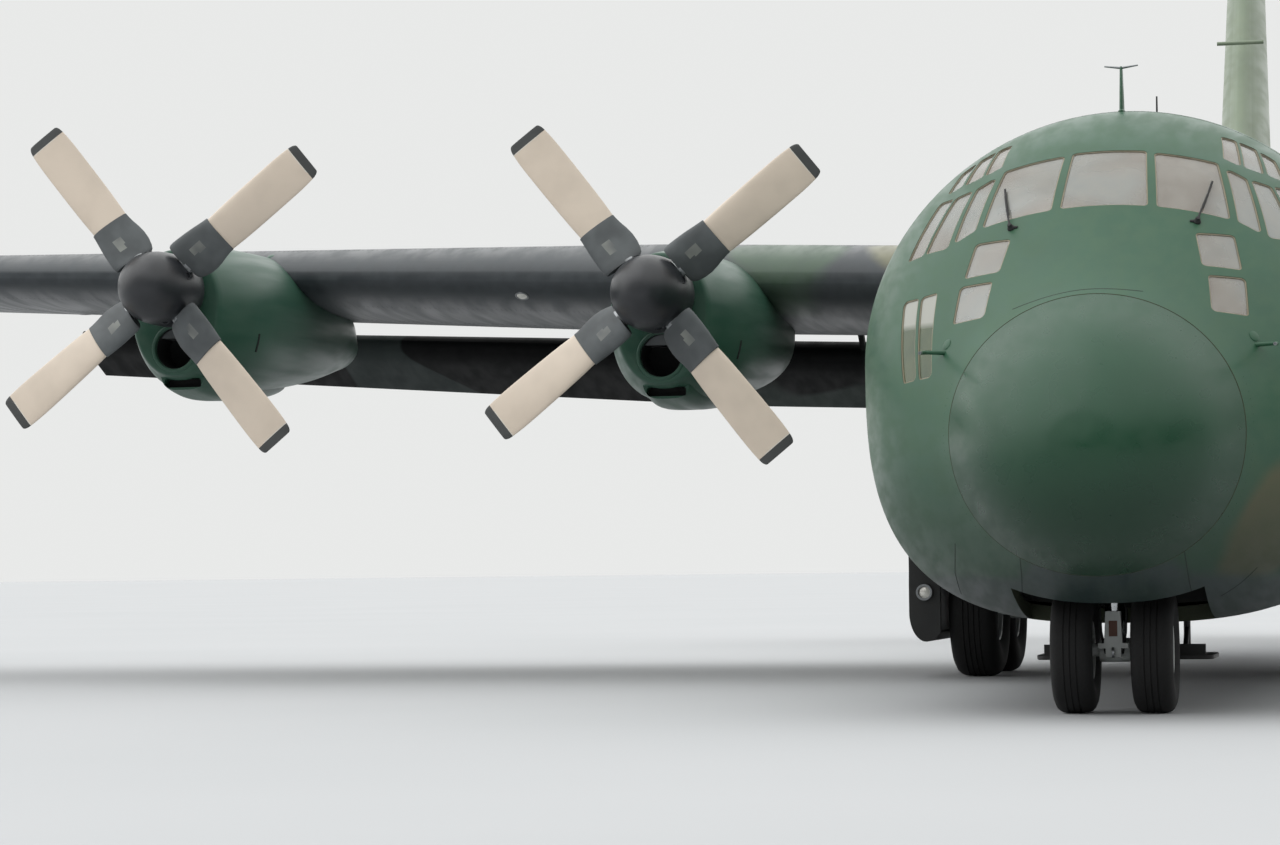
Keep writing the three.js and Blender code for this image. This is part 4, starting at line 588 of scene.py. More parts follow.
# Window panes on the left side, corners at the outer surface. The right side mirrors them
panes = {
    "quarter": [(410, 1900, 3950), (350, 2500, 4440), (850, 2570, 4345), (970, 2010, 3825)],
    "sideFront": [(1020, 2030, 3815), (900, 2550, 4300), (1070, 2540, 4195), (1205, 2050, 3705)],
    "sideMiddle": [(1250, 2060, 3680), (1100, 2550, 4195), (1260, 2630, 4150), (1450, 2240, 3650)],
    "sideRear": [(1465, 2250, 3640), (1275, 2650, 4150), (1400, 2800, 4120), (1620, 2420, 3610)],
    "roofFront": [(880, 2670, 4390), (840, 3110, 4620), (960, 3170, 4590), (1025, 2660, 4310)],
    "roofMiddle": [(1040, 2680, 4310), (980, 3160, 4580), (1120, 3190, 4520), (1195, 2740, 4250)],
    "roofRear": [(1215, 2770, 4240), (1140, 3180, 4500), (1270, 3180, 4420), (1345, 2850, 4190)],
    "chinUpper": [(710, 1760, 3715), (1000, 1900, 3690), (1070, 1655, 3400), (770, 1505, 3430)],
    "chinLower": [(820, 1450, 3360), (1095, 1620, 3335), (1125, 1390, 3025), (860, 1180, 3065)],
}
centrePane = [(-345, 1900, 3950), (-295, 2520, 4450), (295, 2520, 4450), (345, 1900, 3950)]
rightPanes = [
    [(-1610, 2060, 3270), (-1465, 1900, 3285), (-1430, 1480, 2610), (-1550, 1650, 2590)],
    [(-1445, 1880, 3290), (-1290, 1760, 3310), (-1280, 1310, 2620), (-1405, 1450, 2610)],
]
portholeStations, portholeHeight, portholeRadius = (5400, 8000, 15000), 2950, 170


paneCorner = 38
paneCut = (200, -330)      # how far the cutters reach out and in


def paneCutter(corners, shrink):
    # a prism through the wall whose outline has rounded corners and is drawn in by shrink
    corners = [Vector(c) for c in corners]
    centre = sum(corners, Vector()) / 4
    normal = (corners[2] - corners[0]).cross(corners[3] - corners[1]).normalized()
    if normal.dot(centre - Vector((0, centre.y, 2600))) < 0:
        normal.negate()
    outline = []
    for i, corner in enumerate(corners):
        back = (corners[i - 1] - corner).normalized()
        ahead = (corners[(i + 1) % 4] - corner).normalized()
        half = math.acos(max(-1, min(1, back.dot(ahead)))) / 2
        inner = corner + (back + ahead).normalized() * shrink / math.sin(half)
        size = max(paneCorner - shrink, 8)
        middle = inner + (back + ahead).normalized() * size / math.sin(half)
        first = inner + back * size / math.tan(half) - middle
        last = inner + ahead * size / math.tan(half) - middle
        for step in range(5):
            share = step / 4
            outline.append(middle + (first * (1 - share) + last * share).normalized() * size)
    return loft("pane_cutter", [[tuple(p + normal * distance) for p in outline] for distance in paneCut])


def windowCutters(shrink=0.0):
    outlines = [centrePane, *rightPanes]
    for corners in panes.values():
        outlines += [corners, [(-x, y, z) for x, y, z in corners]]
    return [paneCutter(outline, shrink) for outline in outlines]


# Doors and the rear opening
crewDoor = {"front": 2760, "back": 3560, "sill": 960, "top": 2700, "inner": 1000}
paraDoor = {"front": 16950, "back": 17870, "sill": 1300, "top": 3150, "inner": 1540}
rearOpening = {"front": 16420, "split": 19700, "back": 22900, "half": 1500, "backHalf": 1150, "top": 3350,
               "lean": math.radians(26), "floorFront": 1040, "floorBack": 1980}
doorGap = 12


def doorBox(door, grow, side=1):
    return block("door_box", (side * (door["inner"] - grow), side * 2600),
                 (door["front"] - grow, door["back"] + grow), (door["sill"] - grow, door["top"] + grow))


def planPrism(outline, low, high):
    return loft("plan_prism", [[(x, y, z) for x, y in outline] for z in (low, high)])


def sidePrism(outline, near, far):
    return loft("side_prism", [[(x, y, z) for y, z in outline] for x in (near, far)])


def rampPlan(grow):
    half, front, split = rearOpening["half"] + grow, rearOpening["front"] - grow, rearOpening["split"]
    return [(-half, front), (half, front), (half, split), (-half, split)]


def cargoPlan(grow):
    half, split = rearOpening["half"] + grow, rearOpening["split"]
    backHalf, back = rearOpening["backHalf"] + grow, rearOpening["back"] + grow
    return [(-half, split), (-half, split - 900), (half, split - 900), (half, split),
            (backHalf, back), (-backHalf, back)]


def aheadOfSplit(offset):
    # everything ahead of the slanted joint between ramp and cargo door
    front, foot = rearOpening["front"] - 100, rearOpening["split"] + offset
    lean = math.tan(rearOpening["lean"])
    outline = [(front, 300), (foot + 600 * lean, 1000), (foot, 1600), (foot - 1400 * lean, 3000),
               (front, 3000)]
    return sidePrism(outline, -1700, 1700)


hingeSize = {"half": 64, "eye": 20, "barrelFrom": 22, "radius": 22, "pin": 10, "bore": 11.4, "strap": 9}


def hinge(axis, centre, frameFoot, doorFoot):
    # a pin between two barrels on the frame, and the door's eye around it, each on a flat strap
    axis, centre = Vector(axis), Vector(centre)

    def barrel(span, radius):
        return bar("barrel", centre + axis * span[0], centre + axis * span[1], radius, around=20)

    def strap(foot, span):
        across = (Vector(foot) - centre).cross(axis).normalized() * hingeSize["strap"]
        low, high = span
        corners = ((low, -1), (high, -1), (high, 1), (low, 1))
        rings = [[tuple(p + axis * d + across * k) for d, k in corners] for p in (centre, Vector(foot))]
        return loft("strap", rings)

    half, start, radius, eye = [hingeSize[key] for key in ("half", "barrelFrom", "radius", "eye")]
    onFrame = barrel((-half, half), hingeSize["pin"])
    for span in ((-half, -start), (start, half)):
        fuse(onFrame, barrel(span, radius), strap(frameFoot, span))
    onDoor = fuse(barrel((-eye, eye), radius), strap(doorFoot, (-eye, eye)))
    return onFrame, cut(onDoor, barrel((-eye - 6, eye + 6), hingeSize["bore"]))


crewHinges = [hinge((0, 1, 0), (1524, y, 944), (frameSide, y, 905), (doorSide, y, 1015))
              for y, frameSide, doorSide in ((2930, 1210, 1400), (3390, 1310, 1480))]
rampHinges = [hinge((1, 0, 0), (x, 16414, 664), (x, 16385, 745), (x, 16450, 740)) for x in (-520, 520)]
cargoHinges = [hinge((1, 0, 0), (x, 22906, 3050), (x, 23000, 2820), (x, 22830, 2765)) for x in (-560, 560)]


def paintShell(obj, paint, wall, liningPaint="lining"):
    # the outer skin takes its paint, and the wall's edges and inside take the primer
    finish(obj, paint)
    obj.data.materials.append(paints[liningPaint])
    centres = np.zeros(len(obj.data.polygons) * 3)
    obj.data.polygons.foreach_get("center", centres)
    centres = (centres.reshape(-1, 3) - (0, noseTip, 0)) / mm
    halfWidth, top, bottom, widest, squareness = [
        np.interp(centres[:, 1], hullTable[:, 0], hullTable[:, k]) for k in range(1, 6)]
    across, rise = np.abs(centres[:, 0]) / halfWidth, centres[:, 2] - widest
    above = np.sqrt(across ** 2 + (rise / (top - widest)) ** 2)
    below = (across ** squareness + (np.abs(rise) / (widest - bottom)) ** squareness) ** (1 / squareness)
    depth = (1 - np.where(rise >= 0, above, below)) * halfWidth
    normals = np.zeros(len(centres) * 3)
    obj.data.polygons.foreach_get("normal", normals)
    nose = (centres[:, 1] < 300) & (normals.reshape(-1, 3)[:, 1] < -0.15)
    obj.data.polygons.foreach_set("material_index", ((depth > wall * 0.2) & ~nose).astype(int))
    return obj


noseBay = {"half": 740, "front": 1620, "back": 3000}
wheelWell = {"inner": 1640, "front": 10050, "back": 13400, "top": 1900, "lining": 30}
seatGap = 0.8            # air between pieces that rest on each other


def makeRadome():
    shell = cut(hull("radome", 0, radomeEnd - 5), hull("core", 60, radomeEnd + 20, radomeWall, 96))
    mount(paintShell(shell, "radome", radomeWall), "airframe", "radome_paint", "radome")
    seal = cut(hull("radome_seal", radomeEnd - 5, radomeEnd + 5, 7),
               hull("core", radomeEnd - 20, radomeEnd + 20, 40))
    mount(finish(seal, "rubber"), "airframe", "black_rubber")


def makeNose():
    shell = hullShell("nose_shell", radomeEnd + 5, noseEnd, shellWall)
    bay = block("bay", (-noseBay["half"], noseBay["half"]), (noseBay["front"], noseBay["back"]), (300, 1400))
    cut(shell, *windowCutters(), bay, doorBox(crewDoor, doorGap))
    fuse(shell, *[onFrame for onFrame, _ in crewHinges])
    mount(paintShell(shell, "hull", shellWall), "airframe", "camouflage_paint", "nose_shell")


def makeCrewDoor():
    leaf = meet(hullShell("crew_door", 2500, 3800, shellWall), doorBox(crewDoor, 0))
    fuse(leaf, *[eye for _, eye in crewHinges])
    mount(paintShell(leaf, "hull", shellWall), "crew_door", "camouflage_paint", "crew_door")


def skinBand(name, start, end, outer, inner):
    return cut(hull(name, start, end, outer), hull("core", start - 5, end + 5, inner))


glassSpan = (1060, 3620)


def makeGlazing():
    band = skinBand("cockpit_glass", *glassSpan, 14, 26)
    pieces = [meet(cutter, band, keep=True) for cutter in windowCutters(6)]
    discard(band)
    # the two tall panes on the right are the second and third of the outlines, and have no heating film
    pieces = [finish(piece, "clearGlass" if i in (1, 2) else "glass") for i, piece in enumerate(pieces)]
    mount(joined("cockpit_glass", pieces), "airframe", "window_glass", "glazing")
    band = skinBand("window_seals", *glassSpan, 5, 34)
    rims = [meet(cut(whole, opening), band, keep=True)
            for whole, opening in zip(windowCutters(0.4), windowCutters(10))]
    discard(band)
    mount(finish(joined("window_seals", rims), "sealant"), "airframe", "window_glass")


def makePortholes():
    panesMade, rims = [], []
    for station in portholeStations:
        for side in (-1, 1):
            def disc(inset):
                ends = [(side * out, station, portholeHeight) for out in (1700, 2400)]
                return bar("pane", *ends, portholeRadius - inset, around=48)

            def band(outer, inner):
                return skinBand("band", station - 300, station + 300, outer, inner)

            panesMade.append(meet(disc(12), band(16, 28)))
            rims.append(meet(cut(disc(0.5), disc(26)), band(4, 60)))
    mount(finish(joined("porthole_glass", panesMade), "glass"), "airframe", "window_glass")
    mount(finish(joined("porthole_rims", rims), "rubber"), "airframe", "black_rubber")


def makeCargoShell():
    shell = hullShell("cargo_shell", noseEnd + seatGap, cargoEnd, shellWall)
    inner, front, back, top, lined = [wheelWell[key] for key in ("inner", "front", "back", "top", "lining")]
    for _, side in sides:
        cut(shell, block("well", (side * inner, side * 2400), (front, back), (400, top)))
        lining = block("lining", (side * (inner - lined), side * 2250), (front - lined, back + lined),
                       (400, top + lined))
        cut(lining, block("well", (side * inner, side * 2300), (front, back), (300, top)))
        fuse(shell, meet(lining, hull("hull", 9000, 15000, 20)))
        cut(shell, wingLoft("wing_hole", (-10 * side, side * 2600), 0.8, 1.0))
    for station in portholeStations:
        ends = [(x, station, portholeHeight) for x in (-2400, 2400)]
        cut(shell, bar("porthole", *ends, portholeRadius, around=48))
    mount(paintShell(shell, "hull", shellWall), "airframe", "camouflage_paint", "cargo_shell")


def makeTailShell():
    shell = cut(hull("tail_shell", cargoEnd + seatGap, overallLength),
                hull("core", cargoEnd - 5, 29000, tailWall, 96))
    cut(shell, *[planPrism(plan(doorGap), 300, rearOpening["top"]) for plan in (rampPlan, cargoPlan)])
    cut(shell, *[doorBox(paraDoor, 0, side) for _, side in sides])
    cut(shell, tailLoft("tail_hole", (-2300, 2300), 0.99, seatGap))
    fuse(shell, *[onFrame for onFrame, _ in rampHinges + cargoHinges])
    mount(paintShell(shell, "hull", tailWall), "airframe", "camouflage_paint", "tail_shell")


def makeRearDoors():
    for name, side in sides:
        leaf = meet(hullShell(f"para_door_{name}", 16700, 18100, tailWall), doorBox(paraDoor, -5, side))
        mount(paintShell(leaf, "hull", tailWall), "airframe", "camouflage_paint", f"para_door_{name}")
    opening = rearOpening
    front, split, half = [opening[key] for key in ("front", "split", "half")]

    def underFloor(inset):
        return sidePrism([
            (front + inset, 300), (split + 400, 300), (split + 400, opening["floorBack"] - inset),
            (split, opening["floorBack"] - inset), (front + inset, opening["floorFront"] - inset),
        ], -half + inset, half - inset)

    leaf = meet(meet(hull("ramp", front, split + 400), underFloor(0)), aheadOfSplit(-doorGap))
    cut(leaf, meet(hull("core", front, split + 400, tailWall), underFloor(tailWall)))
    fuse(leaf, *[eye for _, eye in rampHinges])
    mount(paintShell(leaf, "belly", tailWall, "cabin"), "ramp", "belly_paint", "ramp")
    leaf = hullShell("cargo_door", split - 1000, opening["back"], tailWall)
    meet(leaf, planPrism(cargoPlan(0), 300, opening["top"]))
    cut(leaf, aheadOfSplit(0))
    fuse(leaf, *[eye for _, eye in cargoHinges])
    mount(paintShell(leaf, "belly", tailWall), "cargo_door", "belly_paint", "cargo_door")


# Flight deck: floor, bulkhead, instrument panel and four crew seats with padded covers
cabin = {"floor": 2480, "thick": 60, "bulkhead": 3860, "panelFront": 2020, "panelBack": 2110,
         "halfPanel": 1050, "roomInset": 137, "yokes": (-620, 620)}
seats = ((620, 2480), (-620, 2480), (0, 3080), (-1000, 3180))
pad = {"crown": 0.42, "corner": 0.36, "rise": 0.8, "drawnIn": 0.07, "waist": 0.04,
       "channels": (-0.5, 0, 0.5), "channelWidth": 0.045, "channelDepth": 0.16}


def softPower(value, power):
    return math.copysign(abs(value) ** power, value)


def padForm(name, centre, half, along, up, out):
    # a crowned closed cushion: sides drawn in between the corners and three sewn channels across it
    rings = []
    for p in np.radians(np.linspace(-89, 89, 26)):
        spread, rise = math.cos(p) ** pad["crown"], softPower(math.sin(p), pad["rise"])
        ring = []
        for a in turns(72):
            u, v = softPower(math.cos(a), pad["corner"]), softPower(math.sin(a), pad["corner"])
            pull = 1 - pad["drawnIn"] * (1 - abs(abs(u) - abs(v))) * (1 - spread * 0.3)
            u, v = [w * spread * (1 - pad["waist"] * (1 - other * other)) * pull
                    for w, other in ((u, v), (v, u))]
            dips = sum(math.exp(-((v - line) / pad["channelWidth"]) ** 2) for line in pad["channels"])
            high = half[2] * rise * (1 - dips * pad["channelDepth"] if p > 0 else 1)
            ring.append(tuple(Vector(centre) + along * half[0] * u + up * half[1] * v + out * high))
        rings.append(ring)
    return loft(name, rings)


def makeSeats():
    # the frames are returned so that they join the deck
    right, level, aft = Vector((1, 0, 0)), Vector((0, 0, 1)), Vector((0, 1, 0))
    foot = [(0, -1), (110, -1), (110, 14), (58, 40), (58, 336), (0, 336)]
    base = cabin["floor"]
    frames = []
    for number, (x, y) in enumerate(seats, 1):
        frames.append(turned("column", foot, (x, y + 200, base), (0, 0, 1), 28))
        frames.append(block("pan", (x - 250, x + 250), (y, y + 470), (base + 329, base + 352)))
        frames.append(block("back", (x - 240, x + 240), (y + 474, y + 500), (base + 351, base + 1080)))
        for out in (x - 70, x + 70):
            frames.append(bar("post", (out, y + 484, base + 1060), (out, y + 484, base + 1200), 12,
                              around=12))
        for out in (x - 246, x + 246):
            frames.append(bar("arm", (out, y + 480, base + 600), (out, y + 170, base + 600), 20, 16, 16))
        for kind, aftBy, upBy, half, *axes in (("seat", 236, 402, (236, 226, 48), right, aft, level),
                                               ("back", 440, 760, (226, 292, 36), right, level, -aft),
                                               ("head", 450, 1170, (124, 84, 32), right, level, -aft)):
            cushion = padForm(f"crew_{kind}_pad_{number}", (x, y + aftBy, base + upBy), half, *axes)
            meet(cushion, hull("room", 1500, 4100, cabin["roomInset"], 96))
            mount(finish(cushion, "seatCloth", 60), "airframe", "cabin_paint")
    return frames


def makeYoke(x):
    base = cabin["floor"]
    rim = [(x + 165 * math.cos(a), 2385, base + 640 - 150 * math.sin(a)) for a in arc(-50, 280, 14)]
    return finishAll(
        "dark", bar("column", (x, 2390, base), (x, 2330, base + 640), 22, 18, 16),
        bar("hub", (x, 2300, base + 640), (x, 2385, base + 640), 26, around=16), pipe("wheel", rim, 14),
        bar("spoke", (x - 158, 2385, base + 640), (x + 158, 2385, base + 640), 13, around=12))


def makeDials():
    # rows of dials on the panel, the lowest row only between the pilots' knees
    rim = [(40, -2), (52, -2), (52, 8), (46, 12), (40, 8), (40, -2)]
    face = [(0, -3), (39.5, -3), (39.5, 3), (0, 3)]
    rims, faces = [], []
    for row, height in enumerate((640, 780, 920, 1050)):
        for x in np.arange(-930, 931, 124):
            if row == 0 and 360 < abs(x) < 880:
                continue
            place = (float(x), cabin["panelBack"], cabin["floor"] + height)
            rims.append(finish(turned("rim", rim, place, (0, 1, 0), 20), "dark"))
            faces.append(finish(turned("dial", face, place, (0, 1, 0), 20), "dialFace"))
    return rims + faces


def makeFlightDeck():
    base, back, halfPanel = cabin["floor"], cabin["bulkhead"], cabin["halfPanel"]
    front, rear = cabin["panelFront"], cabin["panelBack"]
    deck = cut(block("deck", (-2100, 2100), (1150, back + 1), (base - cabin["thick"], base)),
               block("stairs", (780, 2200), (2650, back + 200), (2300, 2600)))
    wall = cut(block("wall", (-2200, 2200), (back, back + 60), (600, 5000)),
               block("way", (780, 1500), (back - 50, back + 100), (1100, 3050)))
    panel = block("panel", (-halfPanel, halfPanel), (front, rear), (base - 1, base + 1150))
    for x in cabin["yokes"]:
        cut(panel, block("knees", (x - 230, x + 230), (front - 40, rear + 40), (base, base + 520)))
    edge = [(halfPanel, 1149), (halfPanel, 1168), (halfPanel - 24, 1180)]
    section = [(-halfPanel, 1149), *edge, (24 - halfPanel, 1180), (-halfPanel, 1168)]
    hood = loft("hood", [[(x, y, base + z) for x, z in section] for y in (1990, 2260)])
    pedestal = loft("pedestal", [
        [(x, y, base + z) for x, z in (
            (-180, -1), (180, -1), (180, rise), (150, rise + 30), (-150, rise + 30), (-180, rise))]
        for y, rise in ((2105, 590), (2560, 590), (2820, 430))])
    levers = [bar("lever", (x, 2380, base + 600), (x, 2330, base + 740), 9, 14, 12)
              for x in (-75, -25, 25, 75)]
    whole = fuse(deck, wall, panel, hood, pedestal, *makeSeats())
    meet(whole, hull("room", 1000, noseEnd, cabin["roomInset"], 96))
    parts = [finish(whole, "cabin")] + makeDials()
    for x in cabin["yokes"]:
        parts += makeYoke(x)
    mount(joined("flight_deck", parts + finishAll("dark", *levers)), "airframe", "cabin_paint", "flight_deck")


# Fittings on the nose: aerial mast and whip, pitot probes, windscreen wipers
noseFittings = {
    # height, half width and half chord of each section
    "mast": {"station": 3700,
             "sections": [(4880, 34, 105), (4950, 32, 100), (4964, 21, 76), (5300, 13, 48), (5328, 8, 34)]},
    "whip": {"foot": (225, 4550, 4960), "top": (225, 4560, 5190)},
    "probe": {"side": 1180, "station": 1290, "height": 2810, "reach": 150, "length": 300, "plateSide": 1165},
    "wiper": {"foot": (720, 1860), "top": (815, 2300), "blade": (760, 2010)},
}


def makeAerials():
    mast, whip = noseFittings["mast"], noseFittings["whip"]
    rings = [[(half * math.cos(a), mast["station"] + chord * math.sin(a), z) for a in turns(28)]
             for z, half, chord in mast["sections"]]
    arms = [bar("arm", (0, mast["station"], 5318), (side * 140, mast["station"], 5336), 11, 6)
            for _, side in sides]
    foot = Vector(whip["foot"])
    rods = [bar("whip", foot, whip["top"], 9, 7), bar("whip_foot", foot, foot + Vector((0, 0, 62)), 26, 18)]
    return [finish(loft("mast", rings), "hull")], finishAll("steel", *arms), finishAll("rubber", *rods)


def makeProbe(side):
    # a pitot head on a short painted post, with a plate on the skin
    probe = noseFittings["probe"]
    station, level = probe["station"], probe["height"]
    out, front = probe["side"] + probe["reach"], station - probe["length"]
    post = bar("post", (side * (probe["side"] - 50), station + 20, level - 5),
               (side * out, station - 60, level), 19, 15)
    tube = bar("tube", (side * out, station - 30, level), (side * out, front + 90, level - 14), 17, 15)
    head = bar("head", (side * out, front + 89, level - 14), (side * out, front + 12, level - 19), 15, 13)
    cut(head, bar("hole", (side * out, front + 40, level - 17), (side * out, front - 20, level - 20), 5))
    foot, normal = skinAt(side * probe["plateSide"], station + 22)
    plate = turned("plate", [(0, -6), (44, -6), (44, 3), (38, 6), (0, 6)], foot, normal, 28)
    return finish(fuse(post, tube), "hull"), [finish(head, "steel"), finish(plate, "hull")]


def makeWiper(side):
    wiper = noseFittings["wiper"]
    (foot, normal), (top, topNormal), (low, lowNormal) = [
        skinAt(side * wiper[key][0], wiper[key][1]) for key in ("foot", "top", "blade")]
    middle, lift = (low + top) / 2, (top - low) * 0.14
    clip = middle + topNormal * 26
    return finishAll(
        "rubber",
        turned("boss", [(0, -12), (30, -12), (30, 10), (22, 20), (17, 44), (0, 46)], foot, normal, 24),
        bar("link", foot - Vector((side * 55, 10, 0)) + normal * 8, foot + normal * 8, 12, 14),
        pipe("arm", [foot + normal * 34, foot.lerp(middle, 0.5) + normal * 44, middle + topNormal * 24], 8),
        pipe("blade", [low + lowNormal * 7, middle + topNormal * 10, top + topNormal * 7], 9, 8),
        bar("clip", clip - lift, clip + lift, 7))


def makeNoseFittings():
    painted, bare, dark = makeAerials()
    for _, side in sides:
        post, head = makeProbe(side)
        painted.append(post)
        bare += head
        dark += makeWiper(side)
    mount(joined("nose_fittings", painted + bare + dark), "airframe", "steel_parts")


# Dark joints between skin panels, as narrow strips just proud of the paint
noseSeams = [
    [(-585, 962), (-610, 1250), (-650, 1612)], [(640, 962), (640, 1300), (640, 1612)],
    [(1130, 1810), (985, 1900), (840, 1980)], [(-1150, 1500), (-1225, 2000), (-1260, 2600)],
]
frameStations = (3640, 5650, 6900, 9150, 14350, 15500)
frameArcs = {3640: ((8, 172), (-46, 8), (172, 180 + 46))}
stringerTurns = (62, 118, 24, 156, -28, 208)
stringerSpan = (4230, 16300)
seam = {"width": 8, "deep": 3, "proud": 1}


def strip(line):
    # a strip along points of the skin, with the outward normal at each
    rings = []
    for i, (point, normal) in enumerate(line):
        along = (line[min(i + 1, len(line) - 1)][0] - line[max(i - 1, 0)][0]).normalized()
        across = along.cross(normal).normalized() * seam["width"] / 2
        deep, proud = normal * seam["deep"], normal * seam["proud"]
        left, right = point - across, point + across
        rings.append([tuple(p) for p in (left - deep, right - deep, right + proud, left + proud)])
    return loft("seam", rings)


def frameLine(station, first, last):
    return [skinPoint(station, turn) for turn in np.linspace(first, last, max(8, int(abs(last - first) / 3)))]


def makeSeams():
    lines = []
    for corners in noseSeams:
        xs, ys = zip(*corners)
        stations = np.linspace(ys[0], ys[-1], 14)
        lines.append([skinAt(float(np.interp(s, ys, xs)), float(s), below=True) for s in stations])
    for station in frameStations:
        lines += [frameLine(station, *ends) for ends in frameArcs.get(station, ((-46, 226),))]
    for turn in stringerTurns:
        lines.append([skinPoint(float(s), turn) for s in np.linspace(*stringerSpan, 90)])
    # a second line over the radome's top joint
    lines.append([skinPoint(1010 + 60 * abs((turn - 96) / 28) ** 3, turn)
                  for turn in np.linspace(72, 122, 24)])
    mount(joined("panel_joints", finishAll("seam", *map(strip, lines))), "airframe", "camouflage_paint")


# Rivet rows: Geometry Nodes sets a dome at each step along the rows and turns it to the skin's normal
def rivetTree():
    tree = bpy.data.node_groups.new("rivet_rows", "GeometryNodeTree")
    for name, kind, inOut in (("Rows", "Geometry", "INPUT"), ("Spacing", "Float", "INPUT"),
                              ("Head Radius", "Float", "INPUT"), ("Paint", "Material", "INPUT"),
                              ("Rivets", "Geometry", "OUTPUT")):
        tree.interface.new_socket(name, in_out=inOut, socket_type=f"NodeSocket{kind}")

    def step(kind, inputs, **settings):
        # a node of which only the first output is used
        return addNode(tree, kind, inputs, **settings).outputs[0]

    given = addNode(tree, "NodeGroupInput").outputs
    rows = step("GeometryNodeMeshToCurve", {"Mesh": given["Rows"]})
    places = step("GeometryNodeResampleCurve", {"Curve": rows, "Length": given["Spacing"]}, mode="LENGTH")
    outward = step("GeometryNodeInputNamedAttribute", {"Name": "outward"}, data_type="FLOAT_VECTOR")
    turn = step("FunctionNodeAlignRotationToVector", {"Vector": outward}, axis="Z")
    head = step("GeometryNodeMeshCone", {
        "Vertices": 7, "Radius Top": 0.55, "Radius Bottom": 1.0, "Depth": 0.42}, fill_type="NGON")
    heads = step("GeometryNodeInstanceOnPoints", {
        "Points": places, "Instance": head, "Rotation": turn, "Scale": given["Head Radius"]})
    whole = step("GeometryNodeRealizeInstances", {"Geometry": heads})
    addNode(tree, "NodeGroupOutput", {
        "Rivets": step("GeometryNodeSetMaterial", {"Geometry": whole, "Material": given["Paint"]})})
    return tree


rivets = {"spacing": 55 * mm, "radius": 5 * mm}
rivetNodes = rivetTree()


def makeRivets(name, lines, paint, slotName):
    # the rows are open polylines that carry the skin's normal
    points, edges, normals = [], [], []
    for line in lines:
        edges += [(len(points) + i, len(points) + i + 1) for i in range(len(line) - 1)]
        points += [tuple(point * mm + Vector((0, noseTip, 0))) for point, _ in line]
        normals += [tuple(normal) for _, normal in line]
    mesh = bpy.data.meshes.new(name)
    mesh.from_pydata(points, edges, [])
    outward = mesh.attributes.new("outward", "FLOAT_VECTOR", "POINT")
    outward.data.foreach_set("vector", np.array(normals).ravel())
    obj = newObject(name, mesh)
    modifier = obj.modifiers.new("rivets", "NODES")
    modifier.node_group = rivetNodes
    values = {"Spacing": rivets["spacing"], "Head Radius": rivets["radius"], "Paint": paints[paint]}
    for socket in rivetNodes.interface.items_tree:
        if socket.name in values:
            modifier[socket.identifier] = values[socket.name]
    mount(plainMesh(obj), "airframe", slotName)


def openSkin(point):
    # places where the fuselage has an opening, a joint or another part on it
    x, y, z = point
    inDoor = (x > 0 and crewDoor["front"] - 25 < y < crewDoor["back"] + 25
              and crewDoor["sill"] - 40 < z < crewDoor["top"] + 25)
    inWell = abs(x) > 1400 and 8650 < y < 15350 and z < 2330
    inWing = 9750 < y < 14900 and z > 3600
    inPane = y < 3300 and z > 2560
    inBay = abs(x) < 780 and y < 3030 and z < 1500
    inPort = any(math.hypot(y - s, z - portholeHeight) < portholeRadius + 30 for s in portholeStations)
    return inDoor or inWell or inWing or inPane or inBay or inPort


def skinRows(line):
    # the pieces of a line that lie on plain skin
    rows, row = [], []
    for point, normal in line:
        if openSkin(point):
            if len(row) > 2:
                rows.append(row)
            row = []
        else:
            row.append((point, normal))
    return rows + [row] if len(row) > 2 else rows


def makeSkinRivets():
    rows = []
    for station in (1040, noseEnd - 60, noseEnd + 60, *[s + d for s in frameStations for d in (-32, 32)]):
        rows += skinRows(frameLine(station, -62, 242))
    for turn in stringerTurns:
        for shift in (-0.9, 0.9):
            rows += skinRows([skinPoint(float(s), turn + shift) for s in np.linspace(*stringerSpan, 150)])
    makeRivets("fuselage_rivets", rows, "hull", "camouflage_paint")


# Wing: straight quarter-chord line, constant chord to the joint and taper outboard
wing = {"quarter": 11060, "rootChord": 4880, "tipChord": 2490, "joint": 5590, "rootHeight": 4060,
        "dihedral": math.radians(2.2), "incidence": math.radians(3), "rootThick": 0.18, "tipThick": 0.12,
        "camber": 0.02, "cove": 0.75, "shroud": 0.89, "shroudThick": 28, "trailing": 0.995}


def outShare(x):
    return max(abs(x) - wing["joint"], 0) / (halfSpan - wing["joint"])


def chordAt(x):
    return wing["rootChord"] + (wing["tipChord"] - wing["rootChord"]) * outShare(x)


def thicknessAt(x):
    root, tip = wing["rootThick"] * wing["rootChord"], wing["tipThick"] * wing["tipChord"]
    return (root + (tip - root) * outShare(x)) / chordAt(x)


def halfThickness(t, thickness):
    return 5 * thickness * (0.2969 * math.sqrt(t) - 0.126 * t - 0.3516 * t ** 2
                            + 0.2843 * t ** 3 - 0.1036 * t ** 4)


def wingPoint(x, t, surface, offset=0.0, squeeze=1.0):
    chord = chordAt(x)
    camber = wing["camber"] * ((0.8 * t - t * t) / 0.16 if t < 0.4 else (0.2 + 0.8 * t - t * t) / 0.36)
    along, lean = t * chord, wing["incidence"]
    up = (camber + surface * squeeze * halfThickness(t, thicknessAt(x))) * chord + surface * offset
    return (x, wing["quarter"] - chord / 4 + along * math.cos(lean) + up * math.sin(lean),
            wing["rootHeight"] + math.tan(wing["dihedral"]) * abs(x)
            - along * math.sin(lean) + up * math.cos(lean))


def chordShares(start, end, count):
    # closer together towards the leading edge
    return [start + (end - start) * (k / count) ** 2 for k in range(count + 1)]


